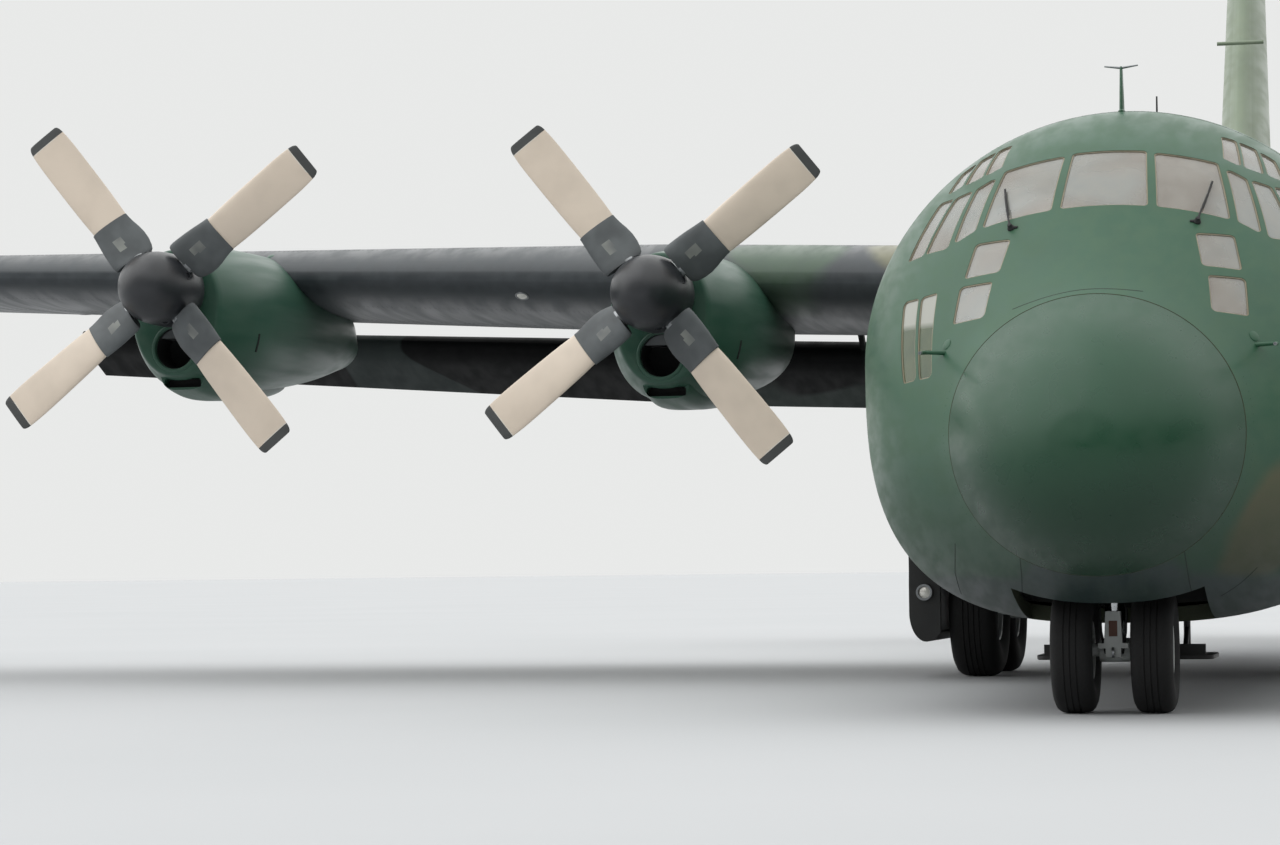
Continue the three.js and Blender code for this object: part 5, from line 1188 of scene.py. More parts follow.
def wingRing(x, rear, grow=0.0, squeeze=1.0):
    shares = chordShares(0.0015, rear, 26)
    lower = [wingPoint(x, t, -1, grow, squeeze) for t in shares]
    upper = [wingPoint(x, t, 1, grow, squeeze) for t in reversed(shares)]
    return upper + lower


def wingLoft(name, spans, rear, grow=0.0):
    return loft(name, [wingRing(x, rear, grow) for x in spans])


flaps = {
    "inboard": {"from": 2450, "to": 5500, "tracks": (2900, 4000)},
    "outboard": {"from": 5690, "to": 13480, "tracks": (6600, 12600)},
}
track = {"radius": 1321, "lean": math.radians(16), "halfHeight": 40, "halfWidth": 30,
         "span": math.radians(40), "gap": 1.5, "slot": 22}
trackSteps = 24
flapRest = math.radians(28)
ailerons = {"from": 13640, "to": 19640, "hinge": 0.79}
flapEnd = 13560
surfaceEndGap = 36


def wingMiddle(x, t):
    # halfway between the upper and the lower skin
    top, low = wingPoint(x, t, 1), wingPoint(x, t, -1)
    return x, (top[1] + low[1]) / 2, (top[2] + low[2]) / 2


def flapAxis(spec):
    ends = []
    for x in (spec["from"], spec["to"]):
        _, station, height = wingMiddle(x, wing["cove"])
        ends.append(Vector((x, station - track["radius"] * math.sin(track["lean"]),
                            height - track["radius"] * math.cos(track["lean"]))))
    return ends


# The surfaces' hinge pins, and the bores for them in the moving surface
pinSize = {"out": 60, "into": 150, "radius": 26}
boreSize = {"out": 90, "into": 162, "radius": 27.4}


def endPins(inner, outer, size):
    # a pin across each end of a hinge line
    along = (outer - inner).normalized()
    out, into = along * size["out"], along * size["into"]
    return [bar("pin", start, end, size["radius"])
            for start, end in ((inner - out, inner + into), (outer - into, outer + out))]


def trackArm(spec, x, fromAngle, toAngle, gap=0.0):
    # an arc-shaped arm about the flap's axis
    inner, outer = flapAxis(spec)
    along = (outer - inner).normalized()
    centre = inner.lerp(outer, (x - inner.x) / (outer.x - inner.x))
    up = Vector((0, math.sin(track["lean"]), math.cos(track["lean"])))
    up = (up - along * up.dot(along)).normalized()
    aft = up.cross(along)
    if aft.y < 0:
        aft.negate()
    rings = []
    wide, high = track["halfWidth"] + gap, track["halfHeight"] + gap
    inside, outside = track["radius"] - high, track["radius"] + high
    for angle in np.linspace(fromAngle, toAngle, trackSteps + 1):
        radial = up * math.cos(angle) + aft * math.sin(angle)
        rings.append([tuple(centre + radial * r + along * w) for r, w in (
            (inside, -wide), (outside, -wide), (outside, wide), (inside, wide))])
    return loft("track_arm", rings)


def trackSlots(spec):
    # a close fit where the arm leaves the wing, and a wide slot for its stowed part
    slots = []
    for x in spec["tracks"]:
        slots.append(trackArm(spec, x, math.radians(-6), math.radians(6), track["gap"]))
        slots.append(trackArm(spec, x, -track["span"] - math.radians(3), math.radians(-3), track["slot"]))
    return slots


def wingNotch(name, ends, edge):
    # what a bay takes from the trailing edge: edge gives its front lines for a side distance
    return loft(name, [edge(x) + [wingPoint(x, 1.08, 1, 150), wingPoint(x, 1.08, -1, 150)] for x in ends])


def flapBay(start, end):
    # over the flaps the upper skin runs on as a thin shroud
    def edge(x):
        under = -wing["shroudThick"]
        return [wingPoint(x, wing["cove"], -1, 150), wingPoint(x, wing["cove"], 1, under),
                wingPoint(x, wing["shroud"], 1, under), wingPoint(x, wing["shroud"], 1, 150)]
    return wingNotch("flap_bay", (start, end), edge)


def aileronBay():
    def edge(x):
        return [wingPoint(x, aileronCove(x), -1, 150), wingPoint(x, aileronCove(x), 1, 150)]
    return wingNotch("aileron_bay", (ailerons["from"] - surfaceEndGap, ailerons["to"] + surfaceEndGap), edge)


def makeWings():
    joint, trailing = wing["joint"], wing["trailing"]
    centre = wingLoft("wing_centre", (0, joint), trailing)
    cut(centre, flapBay(-50, joint + 50), *trackSlots(flaps["inboard"]))
    mount(finish(fuse(centre, mirrored(centre, "twin")), "wing"), "airframe", "wing_paint", "wing_centre")
    # the tip closes in a few steps
    rings = [wingRing(x, trailing, 0, squeeze) for x, squeeze in (
        (joint + seatGap, 1), (19900, 1), (20060, 0.93), (20140, 0.78), (20190, 0.5), (halfSpan, 0.22))]
    outer = cut(loft("wing_left", rings), flapBay(joint - 50, flapEnd),
                *trackSlots(flaps["outboard"]), aileronBay())
    fuse(outer, *endPins(aileronHinge(ailerons["from"]), aileronHinge(ailerons["to"]), pinSize))
    mountPair(outer, "wing", "wing", "wing_paint")


def wingNormal(x, t, surface):
    along = Vector(wingPoint(x, t + 0.004, surface)) - Vector(wingPoint(x, t, surface))
    across = Vector(wingPoint(x + 50, t, surface)) - Vector(wingPoint(x, t, surface))
    normal = along.cross(across).normalized()
    return normal if normal.z * surface > 0 else -normal


# rows along the spars, as shares of the chord, and along the ribs
wingRivets = {"spars": (0.12, 0.128, 0.42, 0.428, 0.7), "ribs": (8100, 12100, 14600, 17200)}
wingLamps = ((7000, 0.035), (16300, 0.04))


def makeWingRivets():
    def rivetAt(x, t, surface, side):
        outward = Vector((side, 1, 1))
        return Vector(wingPoint(x, t, surface)) * outward, wingNormal(x, t, surface) * outward

    for name, side in sides:
        rows = []
        for surface in (1, -1):
            rows += [[rivetAt(x, t, surface, side) for x in np.linspace(5700, 19600, 40)]
                     for t in wingRivets["spars"]]
            rows += [[rivetAt(x, float(t), surface, side) for t in np.linspace(0.02, 0.72, 40)]
                     for x in wingRivets["ribs"]]
        makeRivets(f"wing_rivets_{name}", rows, "wing", "wing_paint")


def makeWingLights():
    rim = [(58, -10), (76, -10), (76, 2), (70, 6), (60, 6), (58, 2), (58, -10)]
    lens = [(0, -6), (57, -6), (57, 2), (40, 8), (0, 10)]
    bulb = [(0, -70), (18, -55), (30, -20), (34, 20), (30, 70), (16, 110), (0, 120)]
    bare, lenses = [], []
    for _, side in sides:
        for x, t in wingLamps:
            foot, normal = Vector(wingPoint(x, t, -1)), wingNormal(x, t, -1)
            foot.x, normal.x = side * foot.x, side * normal.x
            bare.append(finish(turned("rim", rim, foot, normal, 32), "steel"))
            lenses.append(finish(turned("lens", lens, foot, normal, 32), "lamp"))
        tip = Vector(wingPoint(halfSpan - 60, 0.02, 1))
        tip.x *= side
        lenses.append(finish(turned("tip_light", bulb, tip, (0, 1, 0), 24), "lamp"))
    mount(joined("wing_lights", bare + lenses), "airframe", "window_glass")


def aileronHinge(x):
    return Vector(wingMiddle(x, ailerons["hinge"]))


def aileronNose(x):
    return halfThickness(ailerons["hinge"], thicknessAt(x)) * chordAt(x)


def aileronCove(x):
    return ailerons["hinge"] - (aileronNose(x) + doorGap) / chordAt(x)


def noseArc(centre, radius, up, aft):
    return [tuple(centre + up * radius * math.sin(a) + aft * radius * math.cos(a)) for a in arc(90, 180, 14)]


def makeAilerons():
    lean = wing["incidence"]
    up, aft = Vector((0, math.sin(lean), math.cos(lean))), Vector((0, math.cos(lean), -math.sin(lean)))
    shares, ends = (0.999, 0.96, 0.9, 0.86, 0.82), (ailerons["from"], ailerons["to"])
    leaf = loft("aileron_left", [
        [wingPoint(x, t, 1) for t in shares] + noseArc(aileronHinge(x), aileronNose(x), up, aft)
        + [wingPoint(x, t, -1) for t in shares[::-1]] for x in ends])
    cut(leaf, *endPins(*map(aileronHinge, ends), boreSize))
    mountPair(leaf, "aileron", "wing", "wing_paint", moves=True)


def curve(a, b, c):
    # the first points of a quadratic curve from a to c that bends towards b
    a, b, c = Vector(a), Vector(b), Vector(c)
    return [tuple(a * (1 - s) ** 2 + b * 2 * s * (1 - s) + c * s * s) for s in (0, 0.25, 0.5, 0.75)]


def flapRing(x):
    front = wing["cove"] + 16 / chordAt(x)
    shroud, under, nose = wing["shroud"], wing["shroudThick"] + 16, front + 0.022
    _, station, height = wingMiddle(x, front)
    tip = (x, station, height - under / 2)
    upper = [wingPoint(x, t, 1) for t in (0.999, 0.97, 0.93)]
    upper += [wingPoint(x, shroud + 0.012, 1, -6), wingPoint(x, shroud, 1, -under)]
    upper += [wingPoint(x, shroud - k * (shroud - nose - 0.03) / 4, 1, -under) for k in range(1, 5)]
    crown = curve(wingPoint(x, nose, 1, -under - 22), wingPoint(x, front + 0.003, 1, -under - 60), tip)
    keel = curve(wingPoint(x, nose, -1, -40), wingPoint(x, front + 0.003, -1, -90), tip)
    lower = [wingPoint(x, nose + 0.03, -1, -6)] + [wingPoint(x, t, -1) for t in (0.84, 0.9, 0.95, 0.999)]
    return upper + crown + [tip] + keel[::-1] + lower


def makeFlaps():
    for key, spec in flaps.items():
        leaf = loft(f"flap_{key}_left", [flapRing(x) for x in (spec["from"], spec["to"])])
        fuse(leaf, *[trackArm(spec, x, -track["span"], math.radians(4)) for x in spec["tracks"]])
        inner, outer = [Vector((p.x * mm, p.y * mm + noseTip, p.z * mm)) for p in flapAxis(spec)]
        turn = Matrix.Rotation(-flapRest, 4, (outer - inner).normalized())
        leaf.data.transform(Matrix.Translation(inner) @ turn @ Matrix.Translation(-inner))
        mountPair(leaf, f"flap_{key}", "flap", "flap_paint", moves=True)


# Nacelle outline: aft of the propeller, half width, top and bottom from the hub, widest point, squareness
nacelleRows = [
    (420, 480, 440, -870, -100, 2.2), (1000, 660, 520, -1000, -150, 2.4), (2100, 740, 580, -980, -180, 2.5),
    (3800, 690, 500, -790, -140, 2.4), (4700, 540, 240, -650, -160, 2.2), (5250, 380, -20, -560, -290, 2.0),
]
nacelleTable = splineTable(nacelleRows, (0.9, 0.32, 0.12, -0.24, -0.1, 0),
                           (0.87, -0.25, -0.37, 0.15, -0.2, 0), 600)
engines = {1: (10190, 7620, 4110), 2: (4970, 7490, 3890), 3: (-4970, 7490, 3890), 4: (-10190, 7620, 4110)}
nacelle = {"wall": 40, "intakeRadius": 215, "intakeDrop": 590, "shaft": 110, "front": 420, "back": 5250}
# oil cooler scoop: aft of the propeller, half width, bottom from the hub
scoopRows = [(640, 250, -1010), (760, 272, -1028), (1300, 340, -1080),
             (2100, 322, -1052), (2700, 280, -1000), (3300, 190, -900)]
scoopTop = -700
scoopMouth = {"half": 205, "low": -985, "high": -890, "depth": 260, "corner": 36, "lining": 3}
exhaust = {"radius": 190, "wall": 25, "front": 5190, "back": 5400, "drop": 290}


def shifted(ring, place):
    return [(x + place[0], y + place[1], z + place[2]) for x, y, z in ring]


def nacelleLoft(name, place, rows, around=72):
    # each row is the distance aft of the propeller and the inset from the outline
    rings = []
    for aft, inset in rows:
        row = rowAt(nacelleTable, min(max(aft, nacelle["front"]), nacelle["back"]))
        row[0] = aft
        rings.append(shifted(ovalRing(row, inset, around), place))
    return loft(name, rings)


def scoopLoft(place):
    table = splineTable([(*row, 0) for row in scoopRows], (1, 0.3, -0.15, 0), (1, -0.3, 0.2, 0), 200)
    rings = []
    for aft in np.linspace(scoopRows[0][0], scoopRows[-1][0], 26):
        _, half, bottom, _ = rowAt(table, aft)
        ring = []
        for a in arc(0, 180, 24):
            across = math.copysign(abs(math.cos(a)) ** 0.5, math.cos(a)) * half
            ring.append((across, aft, scoopTop + (bottom - scoopTop) * math.sin(a) ** 0.62))
        rings.append(shifted(ring, place))
    return loft("scoop", rings)


def roundedBox(half, high, radius, steps):
    # outline of a rectangle with round corners, from its half sizes
    corners = ((1, 1, 0), (-1, 1, 90), (-1, -1, 180), (1, -1, 270))
    return [((half - radius) * cx + radius * math.cos(a), (high - radius) * cy + radius * math.sin(a))
            for cx, cy, start in corners for a in arc(start, 90, steps)]


def scoopSlot(place, start, end, inset=0):
    middle, high = (scoopMouth["low"] + scoopMouth["high"]) / 2, (scoopMouth["high"] - scoopMouth["low"]) / 2
    outline = roundedBox(scoopMouth["half"] - inset, high - inset, scoopMouth["corner"] - inset, 6)
    return loft("slot", [shifted([(x, y, middle + z) for x, z in outline], place) for y in (start, end)])


def nacelleSkin(name, place):
    # the shell with its intake lip and scoop, hollow but for the engine's bearers
    x, station, height = place
    front, back, wall = nacelle["front"], nacelle["back"], nacelle["wall"]
    rows = [(front, 26), (front + 8, 12), (front + 24, 2)]
    rows += [(aft, 0) for aft in range(front + 80, back - 60, 95)]
    shell = nacelleLoft(name, place, rows + [(back - 30, 0), (back - 8, 8), (back, 20)])
    inside = (front + wall, *range(front + 160, back - 100, 190), back - wall)
    core = nacelleLoft("core", place, [(aft, wall) for aft in inside], 48)
    for side in (-1, 1):
        cut(core, block("beam", (x + side * 300.8, x + side * 760), (station + 1300, station + 2500),
                        (height - 640, height - 500)))
    drop, radius = height - nacelle["intakeDrop"], nacelle["intakeRadius"]
    lip = [(radius + 14 + 24 * math.cos(a), front + 6 + 24 * math.sin(a)) for a in turns(16)]
    fuse(shell, scoopLoft(place), turned("lip", lip + lip[:1], (x, station, drop), (0, 1, 0)))
    mouth = scoopRows[0][0]
    nose = station + front
    return cut(shell, scoopSlot(place, mouth - 60, mouth + scoopMouth["depth"]), core,
               bar("shaft_hole", (x, nose - 20, height), (x, nose + 80, height), nacelle["shaft"] + 40),
               bar("intake", (x, nose - 60, drop), (x, nose + 400, drop), radius, around=48))


def blister(place, side):
    # a smooth dome in the top of the skin on the inboard side
    x, station, height = place
    middle, rings = x - side * 240, []
    for p in np.radians(np.linspace(-88, 88, 15)):
        half, high, y = 100 * math.cos(p), 105 * math.cos(p), station + 2830 + 250 * math.sin(p)
        rings.append([(middle + half * math.cos(a), y, height + 500 + high * math.sin(a)) for a in turns(32)])
    return loft("bump", rings)


def wingCutters(x, side):
    # the wing's own shape and a little air, in two lengths where its joint is above the nacelle
    near, far, joint = abs(x) - 900, abs(x) + 900, wing["joint"]
    spans = [(joint * 0.999, far), (near, joint)] if near < joint else [(near, far)]
    return [wingLoft("wing_cut", sorted(side * end for end in span), 0.8, seatGap) for span in spans]


def makeNacelles():
    front, back = nacelle["front"], nacelle["back"]
    radius, mouth = nacelle["intakeRadius"], scoopRows[0][0]
    outer, inner = exhaust["radius"], exhaust["radius"] - exhaust["wall"]
    start, end = exhaust["front"], exhaust["back"]
    pipeShape = [(inner, start), (outer, start), (outer, end - 12), (outer - 6, end), (inner + 6, end),
                 (inner, end - 12), (inner, start)]
    throatShape = [(radius - 0.5, front + 40), (radius - 0.5, front + 396), (0, front + 396),
                   (0, front + 390), (radius - 6, front + 390), (radius - 6, front + 40),
                   (radius - 0.5, front + 40)]
    for number, place in engines.items():
        x, station, height = place
        side = 1 if x > 0 else -1
        drop, low = height - nacelle["intakeDrop"], height - exhaust["drop"]
        shell = fuse(nacelleSkin(f"nacelle_{number}", place), blister(place, side))
        cut(shell, *wingCutters(x, side),
            bar("bore", (x, station + start - 20, low), (x, station + back + 20, low), outer - 1, around=48))
        vent = meet(block("vent", (x - side * 500, x - side * 800), (station + 1120, station + 1144),
                          (height - 600, height - 410)),
                    nacelleLoft("skin", place, [(aft, -6) for aft in (1000, 1090, 1180, 1260)]))
        sootShadeDisc = bar("sootShadeDisc", (x, station + start + 20, low), (x, station + start + 26, low), inner + 4,
                   around=48)
        throat = turned("throat", throatShape, (x, station, drop), (0, 1, 0))
        backing = scoopSlot(place, mouth + 130, mouth + scoopMouth["depth"] - 1, scoopMouth["lining"])
        tailPipe = turned("exhaust", pipeShape, (x, station, low), (0, 1, 0))
        parts = [finish(shell, "nacelle"), finish(tailPipe, "exhaust")]
        # painted shade: the throat's lining and end disc, the plug behind the scoop's mouth and the vent
        # strip stand for the dark inside these openings; the disc in the tailpipe is soot and painted shade
        parts += finishAll("dark", sootShadeDisc, throat, backing, vent)
        mount(joined(f"nacelle_{number}", parts), "airframe", "nacelle_paint", f"nacelle_{number}")


# Propeller: four broad blades near flat pitch, each in a thick rubber cuff, round a blunt spinner
propeller = {"radius": 2057, "blades": 4, "turn": 38.5, "tipBand": 0.957, "around": 32}
# share of the radius, half chord, half thickness, twist in degrees
bladeRows = [(0.18, 150, 66, 32), (0.42, 198, 40, 16), (0.6, 210, 32, 12),
             (0.8, 213, 20, 8), (0.96, 202, 11, 5), (1.0, 190, 8, 4)]
# share of the radius, chord ahead of the pitch axis and behind it, half thickness, twist in degrees
cuffRows = [
    (0.186, 246, 180, 80, 31), (0.196, 258, 206, 79, 30.5), (0.215, 260, 224, 76, 29.5),
    (0.25, 254, 240, 72, 27), (0.29, 246, 242, 67, 24), (0.33, 236, 230, 62, 21),
    (0.37, 224, 212, 58, 18.5), (0.4, 216, 204, 55, 17), (0.418, 213, 202, 52, 16),
    (0.42, 206, 196, 48, 16),
]
tipRounding = [(0.957, 1.0), (0.97, 0.998), (0.981, 0.985), (0.99, 0.957), (0.996, 0.92), (0.9995, 0.86)]
spinnerProfile = [
    (0, -560), (60, -558), (110, -545), (150, -525), (215, -475), (270, -410), (312, -345), (345, -262),
    (364, -175), (374, -80), (379, 20), (380, 180), (379, 300), (372, 320), (0, 320),
]


# a paler patch on the front face of each cuff: shares of the radius, then middle and half width along the
# chord
cuffPatch = {"from": 0.262, "to": 0.322, "middle": 20, "half": 42}
servicePort = {"behind": 21, "out": 318, "station": -95, "lean": -0.32}


def bladeRing(share, lead, trail, halfThick, twist, around=propeller["around"]):
    # the leading edge is blunt and the forward face fuller, as on a cambered section
    tilt = math.radians(twist)
    ring = []
    for a in turns(around):
        c, s = math.cos(a), math.sin(a)
        u = c * (lead if c > 0 else trail)
        v = s * halfThick * (1 + 0.3 * c) * (0.75 if s > 0 else 1.1)
        ring.append((share * propeller["radius"], v * math.cos(tilt) - u * math.sin(tilt),
                     u * math.cos(tilt) + v * math.sin(tilt)))
    return ring


def paintFaces(obj, paint, chosen):
    # a second paint on the faces that the test picks
    obj.data.materials.append(paints[paint])
    obj.data.polygons.foreach_set("material_index", [int(chosen(face.center)) for face in obj.data.polygons])
    return obj


def makeBlade():
    radius = propeller["radius"]
    table = splineTable([(row[0] * radius, *row[1:]) for row in bladeRows],
                        (1, 0.12, -0.1, -0.05), (0.95, -0.2, -0.03, 0), 500)

    def ringAt(share, squeeze=1.0):
        _, halfChord, halfThick, twist = rowAt(table, share * radius)
        return bladeRing(share, halfChord * squeeze, halfChord * squeeze, halfThick, twist)

    def onTip(centre):
        return centre.x > propeller["tipBand"] * radius * mm

    def onPalePatch(centre):
        share, along = centre.x / mm / radius, centre.z / mm
        near = abs(along - cuffPatch["middle"]) < cuffPatch["half"]
        return cuffPatch["from"] < share < cuffPatch["to"] and near and centre.y < noseTip

    shares = np.linspace(0.19, propeller["tipBand"], 30)[:-1]
    rings = [ringAt(share) for share in shares] + [ringAt(share, squeeze) for share, squeeze in tipRounding]
    blade = paintFaces(finish(loft("blade", rings), "blade"), "bladeTip", onTip)
    # a thin pale line where the tip's paint begins
    line = loft("tip_line", [[(x, y * 1.02, z * 1.002) for x, y, z in ringAt(share)]
                             for share in (0.9535, 0.9565)])
    rows = np.array(cuffRows)
    rings = []
    for share in sorted({*rows[:, 0], *np.linspace(0.2, 0.41, 16)}):
        row = [float(np.interp(share, rows[:, 0], column)) for column in rows.T]
        rings.append(bladeRing(*row, around=72))
    cuff = paintFaces(finish(loft("cuff", rings), "cuff"), "paleFront", onPalePatch)
    shank = finish(bar("shank", (250, 0, 0), (400, 0, 0), 96, around=32), "steel")
    return [blade, finish(line, "tipLine"), cuff, shank]


def makeServicePort(angle):
    # a round port beside a blade's root, with a dark hole
    a = math.radians(angle - servicePort["behind"])
    outward = Vector((math.cos(a), servicePort["lean"], math.sin(a))).normalized()
    out = servicePort["out"]
    foot = Vector((math.cos(a) * out, servicePort["station"], math.sin(a) * out))
    port = cut(bar("port", foot, foot + outward * 62, 50, 44, 28),
               bar("hole", foot + outward * 44, foot + outward * 90, 32, around=28))
    return [finish(port, "spinner"), finish(bar("plug", foot, foot + outward * 46, 31.5, around=28), "dark")]


def makePropellers():
    blade = makeBlade()
    shift = Matrix.Translation((0, noseTip, 0))
    for number, (x, station, height) in engines.items():
        parts = [finish(turned("spinner", spinnerProfile, (0, 0, 0), (0, 1, 0), 72), "spinner", 25),
                 finish(bar("shaft", (0, 300, 0), (0, 499.2, 0), nacelle["shaft"]), "steel")]
        for i in range(propeller["blades"]):
            angle = propeller["turn"] + 90 * i
            turn = shift @ Matrix.Rotation(math.radians(-angle), 4, "Y") @ shift.inverted()
            for piece in blade:
                twin = copyOf(piece, piece.name)
                twin.data.transform(turn)
                parts.append(twin)
            parts += makeServicePort(angle)
        whole = joined(f"propeller_{number}", parts)
        whole.data.transform(Matrix.Translation((x * mm, station * mm, height * mm)))
        mount(whole, f"propeller_{number}", "blade_paint", f"propeller_{number}")
    for piece in blade:
        discard(piece)


# Tail surfaces
fin = {"base": 4700, "top": 11660, "leadBase": 21300, "leadTop": 25800, "trailBase": 28900, "trailTop": 27900,
       "thickBase": 820, "thickTop": 420}
rudder = {"bottom": 4985, "top": 11300, "hingeBottom": 26830, "hingeTop": 27090}
tailplane = {"half": 8025, "height": 4600, "rootChord": 3050, "tipChord": 1370, "trailing": 28400,
             "sweep": 260, "thick": 0.12, "elevatorFrom": 1150, "elevatorTo": 7900, "hinge": 0.66}


def finAt(z):
    share = (z - 5000) / (fin["top"] - 5000)
    lead = fin["leadBase"] + (fin["leadTop"] - fin["leadBase"]) * share
    trail = fin["trailBase"] + (fin["trailTop"] - fin["trailBase"]) * share
    return lead, trail - lead, (fin["thickBase"] + (fin["thickTop"] - fin["thickBase"]) * share) / 2


def finHalf(z, t):
    return finAt(z)[2] * halfThickness(t, 0.2) / halfThickness(0.3, 0.2)


def onRudderLine(z, bottom, top):
    return bottom + (top - bottom) * (z - rudder["bottom"]) / (rudder["top"] - rudder["bottom"])


def rudderHinge(z):
    return onRudderLine(z, rudder["hingeBottom"], rudder["hingeTop"])


def finHalfAtHinge(z):
    lead, chord, _ = finAt(z)
    return finHalf(z, (rudderHinge(z) - lead) / chord)


def rudderNose(z):
    return onRudderLine(z, finHalfAtHinge(rudder["bottom"]), finHalfAtHinge(rudder["top"]))


def finRing(z, rear, squeeze=1.0):
    lead, chord, _ = finAt(z)
    shares = chordShares(0.0015, rear, 22)
    right = [(finHalf(z, t) * squeeze, lead + t * chord, z) for t in reversed(shares)]
    left = [(-finHalf(z, t) * squeeze, lead + t * chord, z) for t in shares]
    return right + left


# Dorsal fillet ahead of the fin: station, top, half width
filletRows = [(18700, 4900, 40), (19600, 5130, 95), (20500, 5420, 150), (22600, 6300, 210)]
filletBase = 4700
finAerial = {"reach": 330, "place": (23500, 8650)}


def filletRing(station, top, half):
    angles = arc(0, 180, 12)
    crown = [(half * math.cos(a), station, top - half * (1.6 - 1.6 * math.sin(a))) for a in angles[1:-1]]
    return [(half, station, filletBase), *crown, (-half, station, filletBase)]


def makeFin():
    body = loft("fin", [finRing(z, 0.99, squeeze) for z, squeeze in (
        (fin["base"], 1), (11500, 1), (11580, 0.93), (11630, 0.75), (fin["top"], 0.4))])
    bayRings = []
    for z in (fin["base"] - 100, rudder["top"] + surfaceEndGap):
        front = rudderHinge(z) - rudderNose(z) - doorGap
        bayRings.append([(-600, front, z), (600, front, z), (600, 30000, z), (-600, 30000, z)])
    cut(body, loft("rudder_bay", bayRings))
    fuse(body, loft("fillet", [filletRing(*row) for row in filletRows]))
    cut(body, hull("hull", 18000, 29700, -seatGap))
    reach, place = finAerial["reach"], finAerial["place"]
    fuse(body, bar("aerial", (-reach, *place), (reach, *place), 28))
    foot, top = [Vector((0, rudderHinge(z), z)) for z in (rudder["bottom"], rudder["top"])]
    along = (top - foot).normalized()
    fuse(body, bar("pin", top - along * 150, top + along * 80, 26))
    mount(finish(body, "fin"), "airframe", "camouflage_paint", "fin")

    rings = []
    for z in (rudder["bottom"], rudder["top"]):
        lead, chord, _ = finAt(z)
        radius, station = rudderNose(z), rudderHinge(z)
        nose = [(math.sin(a) * radius, station + math.cos(a) * radius, z) for a in arc(90, 180, 14)]
        half = finHalf(z, 0.85)
        back = ((-half, 0.85), (-6, 1), (6, 1), (half, 0.85))
        rings.append(nose + [(x, lead + share * chord, z) for x, share in back])
    leaf = cut(loft("rudder", rings), bar("bore", top - along * 162, top + along * 90, 27.4))
    mount(finish(leaf, "fin"), "rudder", "camouflage_paint", "rudder")


def tailChord(x):
    root, tip = tailplane["rootChord"], tailplane["tipChord"]
    return root + (tip - root) * abs(x) / tailplane["half"]


def tailLead(x):
    return tailplane["trailing"] - tailplane["sweep"] * abs(x) / tailplane["half"] - tailChord(x)


def tailHalf(x, t):
    return halfThickness(t, tailplane["thick"]) * tailChord(x)


def tailRing(x, rear, grow=0.0, squeeze=1.0):
    shares = chordShares(0.0015, rear, 20)

    def point(t, sign):
        return (x, tailLead(x) + t * tailChord(x) - (grow if t < 0.01 else 0),
                tailplane["height"] + sign * (tailHalf(x, t) * squeeze + grow))

    return [point(t, 1) for t in reversed(shares)] + [point(t, -1) for t in shares]


def tailLoft(name, spans, rear, grow=0.0):
    spans = [spans[0], 0, spans[1]] if spans[0] < 0 < spans[1] else spans
    return loft(name, [tailRing(x, rear, grow) for x in spans])


def elevatorHinge(x):
    return Vector((x, tailLead(x) + tailplane["hinge"] * tailChord(x), tailplane["height"]))


def makeTailplane():
    # the tips close in a few steps
    closing = ((0, 0.3), (40, 0.7), (110, 0.93), (220, 1))
    tip = [(tailplane["half"] - back, squeeze) for back, squeeze in closing]
    rows = [(-x, squeeze) for x, squeeze in tip] + [(0, 1)] + tip[::-1]
    plane = loft("tailplane", [tailRing(x, 0.99, 0, squeeze) for x, squeeze in rows])
    start, end = tailplane["elevatorFrom"], tailplane["elevatorTo"]
    for _, side in sides:
        bayRings = []
        for x in sorted((side * (start - surfaceEndGap), side * (end + surfaceEndGap))):
            hinge = tailplane["hinge"]
            front = tailLead(x) + hinge * tailChord(x) - tailHalf(x, hinge) - doorGap
            bayRings.append([(x, front, 4200), (x, 30000, 4200), (x, 30000, 5000), (x, front, 5000)])
        cut(plane, loft("elevator_bay", bayRings))
        fuse(plane, *endPins(elevatorHinge(side * start), elevatorHinge(side * end), pinSize))
    mount(finish(plane, "wing"), "airframe", "wing_paint", "tailplane")

    up, aft = Vector((0, 0, 1)), Vector((0, 1, 0))
    rings = []
    for x in (start, end):
        lead, chord, height = tailLead(x), tailChord(x), tailplane["height"]
        rings.append([(x, lead + chord, height + 5), (x, lead + 0.85 * chord, height + tailHalf(x, 0.85))]
                     + noseArc(elevatorHinge(x), tailHalf(x, tailplane["hinge"]), up, aft)
                     + [(x, lead + 0.85 * chord, height - tailHalf(x, 0.85)), (x, lead + chord, height - 5)])
    leaf = cut(loft("elevator_left", rings), *endPins(elevatorHinge(start), elevatorHinge(end), boreSize))
    mountPair(leaf, "elevator", "wing", "wing_paint", moves=True)


# Sponson outline on the left: station, outer side, bottom, top
sponsonRows = [
    (8700, 2150, 1350, 1750), (9100, 2520, 1120, 2050), (9700, 2760, 1040, 2230), (10400, 2860, 1020, 2300),
    (13200, 2860, 1020, 2300), (14300, 2700, 1060, 2200), (15300, 2300, 1300, 1850),
]
sponson = {"inner": 1500, "corner": 0.32, "wall": 60}


